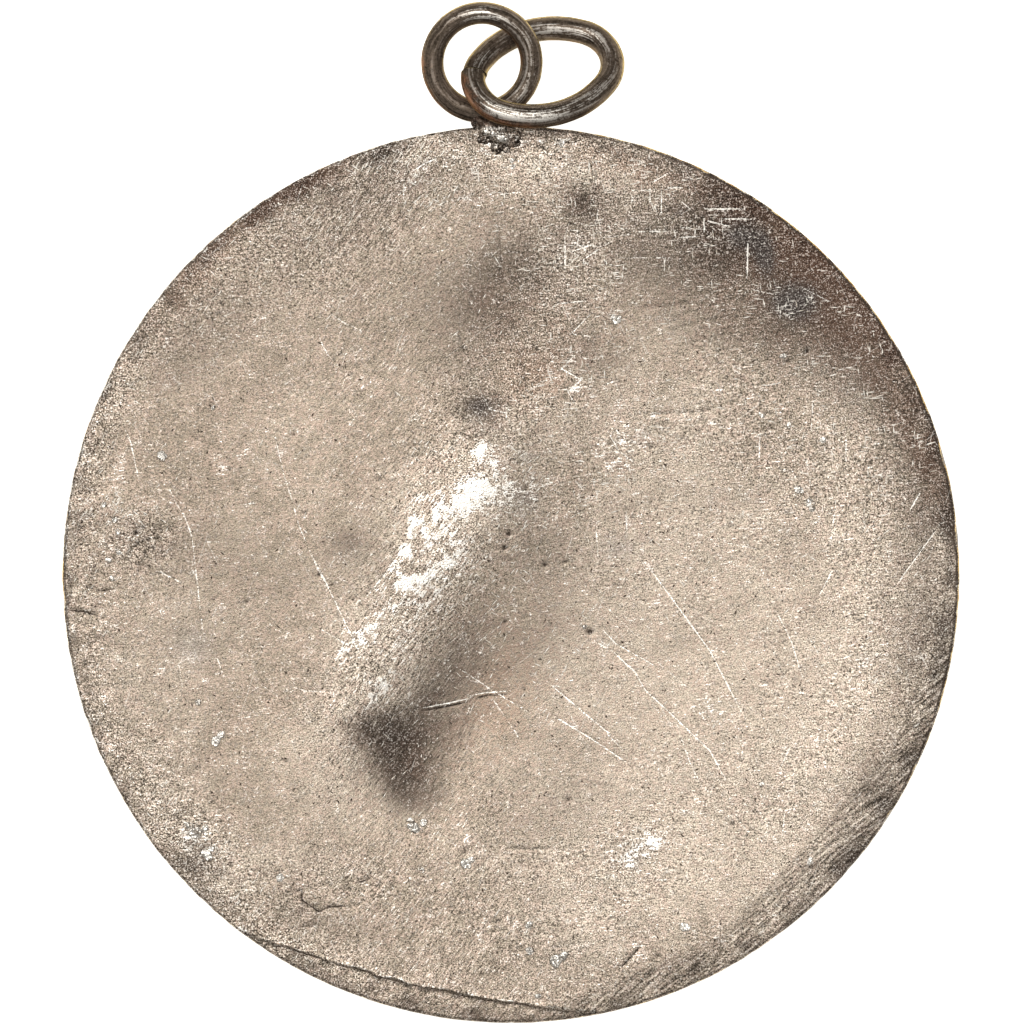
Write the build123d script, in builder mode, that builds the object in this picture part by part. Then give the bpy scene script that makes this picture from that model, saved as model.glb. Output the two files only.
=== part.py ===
"""Commemorative medal lying face down, with its plain back up.

The medal is a round metal piece with a hollowed, hand-finished back. A round
wire loop is soldered to its edge, and an oval jump ring is threaded through
the loop. Millimetres. +Z is up, +Y points from the medal to its loop, and the
border of the hidden face rests on Z = 0.
"""
from build123d import *
from math import atan2, copysign, cos, degrees, exp, radians, sin
import os

# Medal
medal_diameter = 45.0
medal_thickness = 2.4
edge_round = 0.4
border_width = 1.4
border_height = 0.3
border_slope = 0.35

# Soldered loop
loop_wire = 1.15
loop_bore = 3.82
loop_gap = 0.1
loop_sideways = -1.46
loop_tilt = 6.0

# Solder that holds the loop
neck_width = 1.5
neck_drop = 0.1
lump_width = 2.3
lump_reach = 1.5
lump_overhang = 0.05
lump_rise = 0.42
lump_sunk = 0.5
lump_sideways = 0.9
lump_corner = 0.3
lump_top_share = 0.5

# Jump ring
ring_wire = 1.25
ring_inside_length = 5.95
ring_inside_width = 3.76
ring_end_radius = 1.95
ring_heading = 16.8
ring_fall = 15.0
ring_across_share = 0.504
ring_up_share = -0.081
ring_cut = 0.05
ring_cut_place = 148.0
ring_clearance = 0.07
ring_room = 0.345
floor_clearance = 0.02

# Worked edges of the back
step_depth = 0.16
step_width = 1.45
step_start = 232.0
step_middle = 255.0
step_end = 282.0
bevel_width = 2.45
bevel_heading = -42.5
bevel_angle = 8.0

medal_radius = medal_diameter / 2
loop_radius = (loop_bore + loop_wire) / 2
loop_reach = medal_radius + loop_gap + loop_wire / 2 + loop_radius
# The jump ring's wire passes between the loop and the table, with room to lean.
loop_height = ring_wire + ring_room + loop_wire / 2
top_reach = loop_reach + loop_radius * cos(radians(loop_tilt)) + loop_wire / 2
# The origin is under the middle of the whole piece, so the medal sits lower.
medal_centre_y = (medal_radius - top_reach) / 2

# Hollows and swellings of the back. Places and reaches are shares of the
# medal's radius, the heading is in degrees from +X, and the rise is a share of
# the medal's thickness.
BACK_FORMS = [
    # across, up, reach_along, reach_beside, heading, rise
    (0.20, -0.25, 0.46, 0.33, 40.0, -0.130),
    (-0.13, 0.10, 0.27, 0.100, 62.0, 0.085),
    (-0.10, -0.20, 0.22, 0.085, 60.0, -0.085),
    (-0.235, -0.39, 0.11, 0.075, 62.0, -0.105),
    (-0.34, -0.30, 0.20, 0.12, 65.0, 0.045),
    (-0.075, 0.375, 0.050, 0.036, 10.0, -0.030),
    (0.62, 0.62, 0.34, 0.16, -45.0, -0.060),
    (0.14, 0.83, 0.10, 0.07, 60.0, -0.030),
    (-0.62, -0.13, 0.20, 0.12, 80.0, -0.030),
    (-0.42, 0.42, 0.30, 0.22, 20.0, -0.040),
]
back_level_share = 0.94
back_face_rows = 45
back_face_margin = 1.04

# Casting beads that stand on the back. Places are shares of the medal's radius,
# and the bead's own radius is a share of the medal's thickness.
CASTING_BEADS = [
    # across, up, bead_radius
    (-0.700, -0.283, 0.105),
    (-0.702, -0.577, 0.150),
    (-0.214, -0.568, 0.110),
    (-0.100, -0.645, 0.110),
    (0.106, -0.860, 0.130),
    (0.388, -0.785, 0.110),
    (0.640, 0.188, 0.105),
    (0.663, 0.160, 0.105),
    (0.234, 0.566, 0.100),
    (-0.777, 0.264, 0.095),
]
bead_sunk_share = 0.45
# Each bead's own poles are turned away from the line where it meets the back.
bead_turn = (70, 25, 0)


def back_height(across, up):
    """Height of the back above the table, at shares of the medal's radius."""
    height = back_level_share
    for centre_across, centre_up, along, beside, heading, rise in BACK_FORMS:
        turn = radians(heading)
        dx = across - centre_across
        dy = up - centre_up
        u = (dx * cos(turn) + dy * sin(turn)) / along
        v = (dy * cos(turn) - dx * sin(turn)) / beside
        height += rise * exp(-0.5 * (u * u + v * v))
    return height * medal_thickness


def back_face():
    """The hollowed back as one curved face, a little larger than the medal."""
    last = back_face_rows - 1
    shares = [back_face_margin * (2 * step / last - 1) for step in range(back_face_rows)]
    rows = []
    for up in shares:
        y = medal_centre_y + up * medal_radius
        rows.append([Vector(across * medal_radius, y, back_height(across, up)) for across in shares])
    return Face.make_surface_from_array_of_points(rows, tol=0.004, min_deg=3, max_deg=5)


def on_medal(angle, radius):
    """A place on the medal's plan, by angle from +X and distance from its centre."""
    return (radius * cos(radians(angle)), medal_centre_y + radius * sin(radians(angle)))


def loop_point(angle):
    """A point of the loop wire's middle line, with the loop's tilt."""
    rise = loop_radius * sin(radians(angle))
    return Vector(
        loop_sideways + loop_radius * cos(radians(angle)),
        medal_centre_y + loop_reach + rise * cos(radians(loop_tilt)),
        loop_height + rise * sin(radians(loop_tilt)),
    )


# The jump ring's middle line is an oval of two end arcs and two flatter side arcs.
oval_length = (ring_inside_length + ring_wire) / 2
oval_width = (ring_inside_width + ring_wire) / 2
side_radius = (oval_length**2 - 2 * oval_length * ring_end_radius + oval_width**2) / (
    2 * (oval_width - ring_end_radius)
)
end_centre = oval_length - ring_end_radius
side_centre = side_radius - oval_width
end_half_angle = degrees(atan2(side_centre, end_centre))
side_turn = 180 - 2 * end_half_angle


def oval_point(angle):
    """A point of the oval, chosen by the angle of its outward direction."""
    c = cos(radians(angle))
    s = sin(radians(angle))
    if abs(c) > cos(radians(end_half_angle)):
        return (copysign(end_centre, c) + ring_end_radius * c, ring_end_radius * s)
    return (side_radius * c, side_radius * s - copysign(side_centre, s))


def ring_plane(roll, height):
    """The jump ring's own plane. Its right end falls, and roll lowers its far side."""
    heading = radians(ring_heading)
    fall = radians(ring_fall)
    along = Vector(cos(heading) * cos(fall), sin(heading) * cos(fall), -sin(fall))
    level = Vector(-sin(heading), cos(heading), 0)
    beside = level * cos(radians(roll)) - along.cross(level) * sin(radians(roll))
    origin = Vector(
        loop_sideways + ring_across_share * (loop_radius + oval_length),
        medal_centre_y + loop_reach + ring_up_share * (loop_radius + oval_length),
        height,
    )
    return Plane(origin=origin, x_dir=along, z_dir=along.cross(beside))


def least_gap(points, line):
    """The least space between the ring's wire at these points and the loop's wire."""
    wires = (loop_wire + ring_wire) / 2
    return min((point - other).length for point in points for other in line) - wires


def settled_ring():
    """The flattest plane in which the ring clears the table, and the loop below and above it."""
    angles = range(0, 360, 5)
    line = [loop_point(angle) for angle in angles]
    for roll in range(18, 70):
        level = ring_plane(roll, 0)
        far = [level.from_local_coords(oval_point(angle)) for angle in angles if angle < 180]
        near = [level.from_local_coords(oval_point(angle)) for angle in angles if angle >= 180]
        table_height = floor_clearance + ring_wire / 2 - min(point.Z for point in far + near)
        for lift in range(12):
            height = table_height + lift * ring_clearance / 2
            raised = Vector(0, 0, height)
            if least_gap([point + raised for point in far], line) < ring_clearance:
                break
            if least_gap([point + raised for point in near], line) >= ring_clearance:
                return ring_plane(roll, height)
    raise ValueError("the jump ring finds no place through the loop")


# The filed slope starts at a chord and falls outwards from the back there.
bevel_start = 1 - bevel_width / medal_radius
bevel_across = cos(radians(bevel_heading))
bevel_up = sin(radians(bevel_heading))
bevel_fall = sin(radians(bevel_angle))
bevel_level = cos(radians(bevel_angle))
bevel_plane = Plane(
    origin=(
        *on_medal(bevel_heading, medal_radius - bevel_width),
        back_height(bevel_start * bevel_across, bevel_start * bevel_up),
    ),
    x_dir=(bevel_across * bevel_level, bevel_up * bevel_level, -bevel_fall),
    z_dir=(bevel_across * bevel_fall, bevel_up * bevel_fall, bevel_level),
)
loop_plane = Plane(
    origin=(loop_sideways, medal_centre_y + loop_reach, loop_height),
    x_dir=(1, 0, 0),
    z_dir=(0, -sin(radians(loop_tilt)), cos(radians(loop_tilt))),
)
loop_foot = loop_point(-90)
lump_middle = loop_sideways + lump_sideways
lump_edge = medal_centre_y + (medal_radius**2 - lump_middle**2) ** 0.5 + lump_overhang

os.makedirs("parts", exist_ok=True)

with BuildPart() as medal_disc:
    # Round body, with a plain raised border on the hidden face
    with BuildSketch(Plane.XZ.offset(-medal_centre_y)):
        with BuildLine():
            Polyline(
                (medal_radius - edge_round, medal_thickness),
                (0, medal_thickness),
                (0, border_height),
                (medal_radius - border_width - border_slope, border_height),
                (medal_radius - border_width, 0),
                (medal_radius - edge_round, 0),
            )
            RadiusArc((medal_radius - edge_round, 0), (medal_radius, edge_round), -edge_round)
            Line((medal_radius, edge_round), (medal_radius, medal_thickness - edge_round))
            RadiusArc(
                (medal_radius, medal_thickness - edge_round),
                (medal_radius - edge_round, medal_thickness),
                -edge_round,
            )
        make_face()
    revolve(axis=Axis((0, medal_centre_y, 0), (0, 0, 1)))

    # Hollowed back
    extrude(to_extrude=back_face(), amount=medal_thickness, dir=(0, 0, 1), mode=Mode.SUBTRACT)

    # Filed slope at the lower right
    with BuildSketch(bevel_plane):
        Rectangle(medal_radius, medal_diameter, align=(Align.MIN, Align.CENTER))
    extrude(amount=medal_thickness, mode=Mode.SUBTRACT)

    # Low crescent step along the bottom
    with BuildSketch(Plane.XY.offset(back_level_share * medal_thickness - step_depth)):
        with BuildLine():
            ThreePointArc(
                on_medal(step_start, medal_radius),
                on_medal(step_middle, medal_radius - step_width),
                on_medal(step_end, medal_radius),
            )
            ThreePointArc(
                on_medal(step_end, medal_radius),
                on_medal(step_middle, medal_radius + step_width),
                on_medal(step_start, medal_radius),
            )
        make_face()
    extrude(amount=medal_thickness, mode=Mode.SUBTRACT)

    # Casting beads
    for across, up, bead_radius in CASTING_BEADS:
        bead = bead_radius * medal_thickness
        x = across * medal_radius
        y = medal_centre_y + up * medal_radius
        with Locations((x, y, back_height(across, up) - bead_sunk_share * bead)):
            Sphere(bead, rotation=bead_turn)

    # Loop
    with Locations(loop_plane):
        Torus(loop_radius, loop_wire / 2)

    # Neck of solder between the loop and the medal's edge
    with Locations((loop_sideways, loop_foot.Y - loop_wire / 2, loop_foot.Z - neck_drop)):
        Cylinder(neck_width / 2, loop_wire + loop_gap, rotation=(90, 0, 0))

    # Lump of solder on the back, narrowing upwards and away from the loop
    lump_levels = (
        (medal_thickness - lump_sunk, 1),
        (medal_thickness + lump_rise, lump_top_share),
    )
    for level, share in lump_levels:
        with BuildSketch(Plane.XY.offset(level)) as lump:
            with BuildLine():
                Polyline(
                    (lump_middle - share * lump_width / 2, lump_edge),
                    (lump_middle + share * lump_width / 2, lump_edge),
                    (lump_middle, lump_edge - share * lump_reach),
                    close=True,
                )
            make_face()
            fillet(lump.vertices(), share * lump_corner)
    loft()
medal_disc.part.label = "medal_disc"
export_step(medal_disc.part, "parts/medal_disc.step")

with BuildPart() as jump_ring:
    # Half of the narrow cut between the wire's ends, as an angle
    half_cut = degrees(ring_cut / 2 / ring_end_radius)
    cut_to_side = 180 + end_half_angle - ring_cut_place - half_cut
    side_to_cut = ring_cut_place - half_cut - 180 + end_half_angle
    with BuildLine(settled_ring()) as middle_line:
        CenterArc((-end_centre, 0), ring_end_radius, ring_cut_place + half_cut, cut_to_side)
        CenterArc((0, side_centre), side_radius, 180 + end_half_angle, side_turn)
        CenterArc((end_centre, 0), ring_end_radius, -end_half_angle, 2 * end_half_angle)
        CenterArc((0, -side_centre), side_radius, end_half_angle, side_turn)
        CenterArc((-end_centre, 0), ring_end_radius, 180 - end_half_angle, side_to_cut)
    wire = middle_line.wires()[0]
    with BuildSketch(Plane(origin=wire @ 0, z_dir=wire % 0)):
        Circle(ring_wire / 2)
    sweep(path=wire)
jump_ring.part.label = "jump_ring"
export_step(jump_ring.part, "parts/jump_ring.step")
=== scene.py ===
"""Commemorative medal lying face down: worn silver back, solder, loop and jump ring."""
import bmesh
import bpy
import numpy as np
from math import atan2, ceil, copysign, cos, hypot, pi, radians, sin, tan
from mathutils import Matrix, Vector, noise
from mathutils.geometry import delaunay_2d_cdt
from mathutils.kdtree import KDTree


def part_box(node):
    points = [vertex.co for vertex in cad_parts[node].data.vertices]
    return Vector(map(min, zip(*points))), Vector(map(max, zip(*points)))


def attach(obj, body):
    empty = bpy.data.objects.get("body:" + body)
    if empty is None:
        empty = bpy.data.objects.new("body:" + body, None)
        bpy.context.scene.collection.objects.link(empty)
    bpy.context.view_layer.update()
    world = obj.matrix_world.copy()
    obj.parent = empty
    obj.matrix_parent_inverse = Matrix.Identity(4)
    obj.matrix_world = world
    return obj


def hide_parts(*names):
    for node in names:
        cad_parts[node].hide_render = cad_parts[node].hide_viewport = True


bl_info = {
    "name": "Commemorative Medal",
    "version": (1, 0, 0),
    "blender": (4, 5, 0),
    "location": "3D View > Sidebar > Medal",
    "description": "Builds a worn silver medal lying face down, with its soldered loop and jump ring",
    "category": "Add Mesh",
}

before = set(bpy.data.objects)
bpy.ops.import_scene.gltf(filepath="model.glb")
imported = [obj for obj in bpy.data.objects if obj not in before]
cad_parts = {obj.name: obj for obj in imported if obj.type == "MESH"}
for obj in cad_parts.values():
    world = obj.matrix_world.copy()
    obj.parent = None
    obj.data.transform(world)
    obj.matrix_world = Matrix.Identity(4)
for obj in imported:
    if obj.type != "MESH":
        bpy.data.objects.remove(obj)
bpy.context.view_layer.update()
disc_low, disc_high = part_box("medal_disc")

# Shapes are worked out in millimetres, and headings in degrees, counter-clockwise from +X
MM = 0.001
MEDAL_RADIUS = (disc_high.x - disc_low.x) / 2 / MM
MEDAL_CENTRE_Y = disc_low.y / MM + MEDAL_RADIUS

# Marks are placed on a sheet of small squares laid over the back. Its first square is at the
# top left, and the medal's centre is at SHEET_CENTRE.
SHEET_SQUARE = 0.0501
SHEET_CENTRE = (511.1, 574.6)

# Hollows and swellings of the back, as in the solid: shares of the radius and the thickness
BACK_FORMS = [
    # across, up, reach_along, reach_beside, heading, rise
    (0.20, -0.25, 0.46, 0.33, 40.0, -0.130),
    (-0.13, 0.10, 0.27, 0.100, 62.0, 0.085),
    (-0.10, -0.20, 0.22, 0.085, 60.0, -0.085),
    (-0.235, -0.39, 0.11, 0.075, 62.0, -0.105),
    (-0.34, -0.30, 0.20, 0.12, 65.0, 0.045),
    (-0.075, 0.375, 0.050, 0.036, 10.0, -0.030),
    (0.62, 0.62, 0.34, 0.16, -45.0, -0.060),
    (0.14, 0.83, 0.10, 0.07, 60.0, -0.030),
    (-0.62, -0.13, 0.20, 0.12, 80.0, -0.030),
    (-0.42, 0.42, 0.30, 0.22, 20.0, -0.040),
]
BACK_LEVEL_SHARE = 0.94

# Facets left by the file at the lower right: heading, distance from the centre, slope
FILED_FACETS = [
    (-42.5, 20.05, 5.0),
    (-24.0, 21.00, 6.0),
    (-67.0, 20.75, 5.5),
]

# Low step along the bottom: three angles, how far it reaches in, and its depth
STEP_ANGLES = (232.0, 255.0, 282.0)
STEP_WIDTH = 1.45
STEP_DEPTH = 0.16

# Scratches and cracks: half their width, and depth
SCRATCH_HALF_WIDTH = 0.055
SCRATCH_DEPTH = 0.012
CRACK_HALF_WIDTH = 0.070
CRACK_DEPTH = 0.045
PIT_DEPTH_SHARE = 0.75

# Waves of the back, of its crust, of the step and its raised edge, of the filed facets, of the
# hidden floor, and of the wear on the rim: depth, size of a lump, seed
BACK_WAVES = [(0.010, 1.3, 5), (0.006, 0.55, 6), (0.004, 0.27, 7)]
CRUST_WAVES = [(0.050, 0.46, 8), (0.055, 0.24, 9)]
CRUST_SINK = 0.03
STEP_WAVE = (0.07, 1.1, 11)
STEP_RIPPLE = (0.05, 0.4, 13)
STEP_RIDGE = (0.020, 0.35, 12)
FACET_WAVE = (0.10, 1.6, 3)
FLOOR_WAVE = (0.02, 3.0, 41)
RIM_DENTS = (0.016, 0.5, 21)
RIM_HOLLOWS = (0.012, 1.7, 22)
RIM_CHIPS = (0.07, 0.70, 23)

# Points of the back: how far in the brow, the crease behind it and the marks begin, how close
# two marks may be, how clear of them the field stays, and how far a point strays from its row
BROW_SLACK = 0.03
CREASE_INSET = 0.07
MARKS_INSET = 0.14
LEAST_MARK_GAP = 0.045
FIELD_GAP = 0.10
LINE_SPACING = 0.13
ROW_SHARE = 0.866
STRAY = 0.12

# Edge of the medal: turns of its worn brow and of its foot, and the shares of its height between
BROW_TURNS = (22, 45, 67, 90)
SIDE_SHARES = (0.8, 0.6, 0.4, 0.2, 0.0)
FOOT_TURNS = (30, 60)
FOOT_ROUND = 0.4
FOOT_WEAR = 0.5
EDGE_HEIGHT = 2.4
MIDDLE_HEIGHT = 1.2

# Hidden face: inset and height of the rings of its border and slope, then its floor, whose
# rings have one point for so many of the rim's
HIDDEN_RINGS = [(FOOT_ROUND, 0.0), (1.4, 0.0), (1.52, 0.10), (1.75, 0.30)]
FLOOR_INSET, FLOOR_HEIGHT = HIDDEN_RINGS[-1]
FLOOR_RINGS = [(2.1, 2), (2.7, 4), (3.7, 8)]
FLOOR_FIELD_INSET = 4.4
FLOOR_SPACING = 1.1

# Distances from the centre between which the rubbing grows keen, the edge grows darker and
# cloudy, and the open back, where strokes and flecks lie, comes to its end
KEEN_RING = (20.6, 21.6)
DARK_RING = (21.3, 22.1)
CLOUDY_RING = (20.9, 21.8)
OPEN_EDGE = (22.2, 21.9)
HIDDEN_INSET = 0.35

# Lip along the edge: the middle of its gold side, which is a painted reflection, and of its pale
# side, worn and painted as a highlight, its width, how much wider it is where it is gold, and the
# inset and width of the dark line behind it
GOLD_SHEEN_HEADING = 28.0
PALE_HEADING = 160.0
LIP_WIDTH = 0.085
LIP_SPREAD = 0.02
BROW_LINE_INSET = 0.14
BROW_LINE_WIDTH = 0.04

# Where else the lip has its painted gold reflection: heading, half width in degrees, strength
RIM_GOLD_SHEEN = [(180.0, 7.0, 0.9), (127.0, 8.0, 0.6)]

# Headings of the fine grain: at the upper right, at the lower right where it was filed, and
# on the left
LEVEL_GRAIN, FILED_GRAIN, SLANT_GRAIN = 4.0, 41.0, 54.0

# Spots of finish. Besides real tarnish, burnish and wear, the dark spots paint shade on slopes of the
# back that face away from the light, and the burnished and worn ones paint highlights on slopes that
# face it. Each is: right, down, reach_along, reach_beside, heading, strength
TARNISH_AND_SHADE = [
    (772, 238, 56, 20, -42, 0.24), (835, 315, 44, 16, -55, 0.24), (630, 228, 60, 18, 0, 0.14),
    (630, 262, 36, 14, 0, 0.12), (820, 895, 34, 18, 45, 0.24), (850, 508, 44, 30, 0, 0.08),
    (530, 275, 60, 40, 10, 0.30), (590, 300, 70, 34, 0, 0.14), (660, 265, 60, 36, 0, 0.14),
    (440, 320, 40, 60, 20, 0.22), (700, 245, 56, 40, 70, 0.42), (745, 340, 60, 22, -20, 0.32),
    (810, 370, 50, 22, -40, 0.26), (915, 500, 60, 16, 80, 0.40), (930, 590, 60, 14, 90, 0.40),
    (180, 335, 50, 30, 50, 0.16), (345, 550, 26, 20, 0, 0.26), (480, 428, 26, 16, 0, 0.34),
    (820, 262, 40, 24, -45, 0.50), (610, 162, 80, 10, -14, 0.10), (535, 645, 40, 30, 65, 0.22),
    (395, 780, 16, 30, 0, 0.40), (330, 300, 60, 40, 0, 0.18), (470, 690, 40, 26, 65, 0.26),
    (435, 760, 30, 22, 70, 0.20), (500, 470, 30, 22, 60, 0.16), (745, 235, 50, 40, -35, 0.76),
    (764, 252, 8, 18, 10, 0.80), (795, 301, 24, 20, 0, 0.85), (780, 325, 50, 22, -10, 0.10),
    (850, 325, 52, 34, -50, 0.66), (895, 400, 40, 24, -60, 0.52), (925, 460, 42, 14, -70, 0.44),
    (942, 510, 26, 12, -80, 0.36), (948, 600, 60, 9, 88, 0.28), (640, 210, 70, 40, -10, 0.26),
    (366, 728, 16, 12, 0, 0.50), (392, 738, 22, 28, 70, 0.74), (405, 775, 26, 17, -75, 0.72),
    (422, 735, 24, 40, 5, 0.36), (440, 690, 44, 22, 62, 0.34), (470, 645, 46, 28, 60, 0.28),
    (480, 406, 20, 10, 10, 0.65), (502, 265, 48, 34, 85, 0.36), (478, 335, 40, 46, 0, 0.22),
    (585, 205, 17, 19, 60, 0.66), (545, 550, 34, 26, 0, 0.36), (525, 492, 34, 22, 60, 0.28),
    (540, 625, 60, 40, 0, 0.16), (210, 330, 60, 34, 35, 0.14), (320, 215, 90, 30, 28, 0.16),
    (150, 545, 52, 30, 0, 0.26), (250, 575, 90, 40, 0, 0.20), (400, 170, 90, 16, 12, 0.22),
    (872, 782, 28, 24, 60, 0.30), (845, 845, 50, 12, 52, 0.16), (670, 970, 46, 14, 22, 0.30),
    (905, 700, 70, 14, 70, 0.20), (345, 540, 12, 9, 0, 0.28), (300, 900, 60, 18, -25, 0.20),
    (400, 1000, 130, 14, -12, 0.30), (250, 214, 70, 12, 38, 0.30), (330, 172, 60, 10, 24, 0.28),
    (285, 225, 90, 36, 36, 0.14), (180, 350, 50, 30, 40, 0.12), (900, 650, 24, 60, 0, 0.14),
    (850, 850, 50, 20, 50, 0.14), (115, 780, 24, 20, -60, 0.20), (455, 168, 44, 22, 10, 0.06),
    (590, 352, 30, 18, 0, 0.18), (405, 192, 60, 22, 8, 0.16), (466, 190, 26, 20, 0, 0.08),
    (352, 226, 46, 18, 30, 0.16), (556, 350, 44, 20, 10, 0.18), (610, 368, 30, 22, 0, 0.14),
    (885, 472, 16, 26, 10, 0.26), (102, 540, 22, 36, 0, 0.14), (450, 668, 24, 60, 12, 0.08),
    (376, 770, 13, 13, 0, 0.20), (435, 800, 16, 18, 0, 0.24), (256, 798, 26, 20, 0, 0.16),
    (196, 862, 22, 16, -45, 0.60), (905, 640, 22, 60, 5, 0.18), (886, 752, 18, 26, -20, 0.26),
    (856, 832, 16, 16, 0, 0.22), (310, 924, 60, 16, -14, 0.30), (530, 846, 30, 24, 0, 0.18),
    (586, 784, 26, 22, 0, 0.22), (400, 566, 34, 26, 0, 0.26), (770, 268, 26, 40, 0, 0.20),
    (550, 805, 36, 24, 0, 0.18), (755, 905, 40, 22, 30, 0.26), (372, 236, 40, 30, 0, 0.14),
    (700, 492, 70, 18, 10, 0.16), (600, 385, 24, 20, 0, 0.12), (540, 442, 30, 16, 0, 0.12),
    (886, 640, 40, 36, 0, 0.12), (436, 695, 14, 26, 0, 0.18), (232, 790, 34, 24, 0, 0.10),
    (802, 682, 26, 20, 0, 0.18), (565, 618, 30, 18, 0, 0.10), (825, 785, 40, 26, 0, 0.12),
    (362, 500, 20, 26, 0, 0.14), (318, 378, 20, 16, 0, 0.12), (175, 362, 30, 24, 0, 0.10),
    (215, 532, 34, 18, 0, 0.10), (722, 500, 60, 10, 6, 0.14),
]
BURNISH_AND_HIGHLIGHT = [
    (464, 502, 13, 8, 42, 1.00), (486, 486, 16, 7, 10, 0.80), (474, 490, 24, 15, 35, 0.30),
    (441, 514, 9, 4, 10, 0.80), (420, 498, 9, 3, 0, 0.60), (448, 528, 6, 3, 0, 0.60),
    (459, 543, 9, 4, 12, 0.50), (442, 524, 36, 24, 50, 0.20), (708, 560, 16, 12, 0, 0.22),
    (411, 530, 11, 3, 78, 0.72), (419, 521, 7, 3, 10, 0.66), (425, 532, 9, 3, -80, 0.60),
    (405, 551, 7, 5, 10, 0.80), (396, 566, 8, 4, 60, 0.66), (402, 580, 9, 4, -50, 0.85),
    (422, 577, 17, 4, 18, 1.00), (446, 563, 10, 5, 45, 0.85), (476, 457, 10, 5, 70, 0.62),
    (492, 461, 9, 4, -60, 0.58), (483, 447, 12, 4, 10, 0.55), (420, 592, 18, 5, 42, 0.26),
    (520, 495, 20, 8, 20, 0.42), (376, 690, 24, 5, 68, 0.34), (390, 678, 22, 5, 50, 0.30),
    (404, 700, 24, 5, 20, 0.30), (190, 840, 22, 9, 35, 0.40), (455, 585, 40, 14, 45, 0.22),
    (420, 610, 50, 22, 50, 0.20), (348, 648, 14, 12, 70, 0.40), (375, 622, 30, 8, 50, 0.30),
    (500, 500, 26, 14, 0, 0.28), (565, 370, 10, 24, 10, 0.26), (640, 850, 22, 12, 40, 0.52),
    (710, 708, 12, 8, 0, 0.45), (866, 662, 18, 8, 30, 0.34), (620, 450, 18, 26, -30, 0.30),
    (455, 160, 40, 8, 22, 0.34),
]
WORN_AND_LIT = [
    (770, 680, 150, 110, 30, 0.75), (740, 860, 70, 40, 20, 0.60), (765, 795, 40, 30, 0, 0.50),
    (730, 540, 90, 26, 0, 0.40), (610, 660, 50, 40, 0, 0.55), (390, 640, 34, 60, 40, 0.75),
    (340, 775, 40, 36, 0, 0.60), (650, 435, 60, 34, 0, 0.45), (580, 900, 60, 40, 0, 0.40),
    (190, 700, 90, 50, 60, 0.30), (690, 560, 110, 70, -20, 0.40), (700, 850, 130, 70, 30, 0.45),
    (600, 760, 90, 70, 0, 0.35), (820, 900, 90, 20, 50, 0.50), (655, 425, 70, 50, 0, 0.35),
    (450, 515, 62, 34, 55, 0.95), (345, 655, 34, 30, 70, 0.60), (330, 770, 40, 50, 0, 0.40),
    (245, 880, 60, 30, -35, 0.40), (150, 640, 50, 60, 90, 0.40), (320, 420, 110, 90, 0, 0.22),
    (706, 560, 44, 24, 0, 0.55), (662, 592, 56, 28, -40, 0.40), (735, 802, 34, 26, 0, 0.75),
    (768, 690, 44, 36, 0, 0.35), (700, 770, 80, 50, 20, 0.35), (405, 488, 16, 26, 0, 0.50),
    (374, 696, 14, 26, 30, 0.55), (180, 785, 34, 24, -50, 0.40), (300, 858, 60, 13, -10, 0.55),
    (508, 786, 26, 20, 0, 0.35), (600, 906, 40, 20, 0, 0.40), (712, 380, 50, 60, 0, 0.22),
    (545, 184, 26, 18, 0, 0.40), (616, 196, 13, 16, 0, 0.35), (570, 172, 76, 15, -8, 0.55),
    (862, 394, 18, 26, 20, 0.35), (452, 288, 20, 50, -10, 0.25), (690, 322, 34, 18, 0, 0.40),
    (585, 950, 34, 16, 0, 0.45), (466, 858, 20, 16, 0, 0.35),
]
COPPER = [
    (530, 375, 30, 34, 80, 0.62), (508, 300, 34, 50, 80, 0.40), (800, 240, 70, 34, -45, 0.75),
    (860, 330, 60, 30, -50, 0.70), (905, 420, 50, 18, -65, 0.55), (760, 330, 50, 24, -20, 0.30),
    (600, 330, 30, 40, 80, 0.24), (455, 470, 60, 50, 50, 0.30), (190, 280, 80, 14, 48, 0.40),
    (420, 1000, 140, 14, -12, 0.30), (310, 178, 90, 14, 30, 0.70), (205, 262, 60, 14, 48, 0.45),
    (500, 690, 70, 40, 60, 0.55), (395, 760, 40, 46, 60, 0.35), (745, 265, 60, 50, 0, 0.45),
    (640, 170, 70, 12, -18, 0.60), (560, 200, 60, 24, 0, 0.35), (930, 480, 40, 14, -75, 0.50),
]
ASH = [
    (192, 645, 22, 20, -45, 0.60), (616, 548, 26, 14, 0, 0.50), (518, 500, 24, 16, -10, 0.55),
    (524, 457, 9, 7, 0, 0.60), (742, 236, 14, 16, 80, 0.80), (764, 252, 8, 18, 10, 0.95),
    (795, 301, 20, 16, 0, 0.95), (480, 407, 16, 9, 0, 0.50), (395, 735, 26, 20, 60, 0.35),
    (640, 850, 26, 16, 40, 0.50), (710, 708, 12, 9, 40, 0.45), (866, 662, 20, 10, 30, 0.40),
    (575, 245, 30, 26, 0, 0.30),
]
RUBBED = [
    (690, 225, 70, 40, -15, 0.75), (570, 260, 50, 50, 60, 0.65), (560, 380, 30, 40, 70, 0.55),
    (455, 500, 60, 60, 50, 0.45), (515, 498, 26, 20, 0, 0.70), (524, 457, 11, 8, 0, 0.70),
    (430, 170, 90, 26, 0, 0.55), (510, 160, 60, 20, 0, 0.45), (105, 480, 60, 24, 80, 0.40),
    (120, 560, 50, 24, 80, 0.30), (780, 320, 60, 50, 0, 0.45), (850, 450, 60, 60, 60, 0.45),
    (640, 450, 60, 40, 70, 0.40), (470, 660, 60, 50, 60, 0.45), (200, 850, 40, 26, -40, 0.60),
    (640, 850, 30, 24, 40, 0.65), (710, 708, 18, 14, 0, 0.60), (866, 662, 24, 12, 30, 0.60),
    (270, 235, 60, 30, 40, 0.45), (600, 150, 90, 16, -12, 0.70),
]
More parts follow.
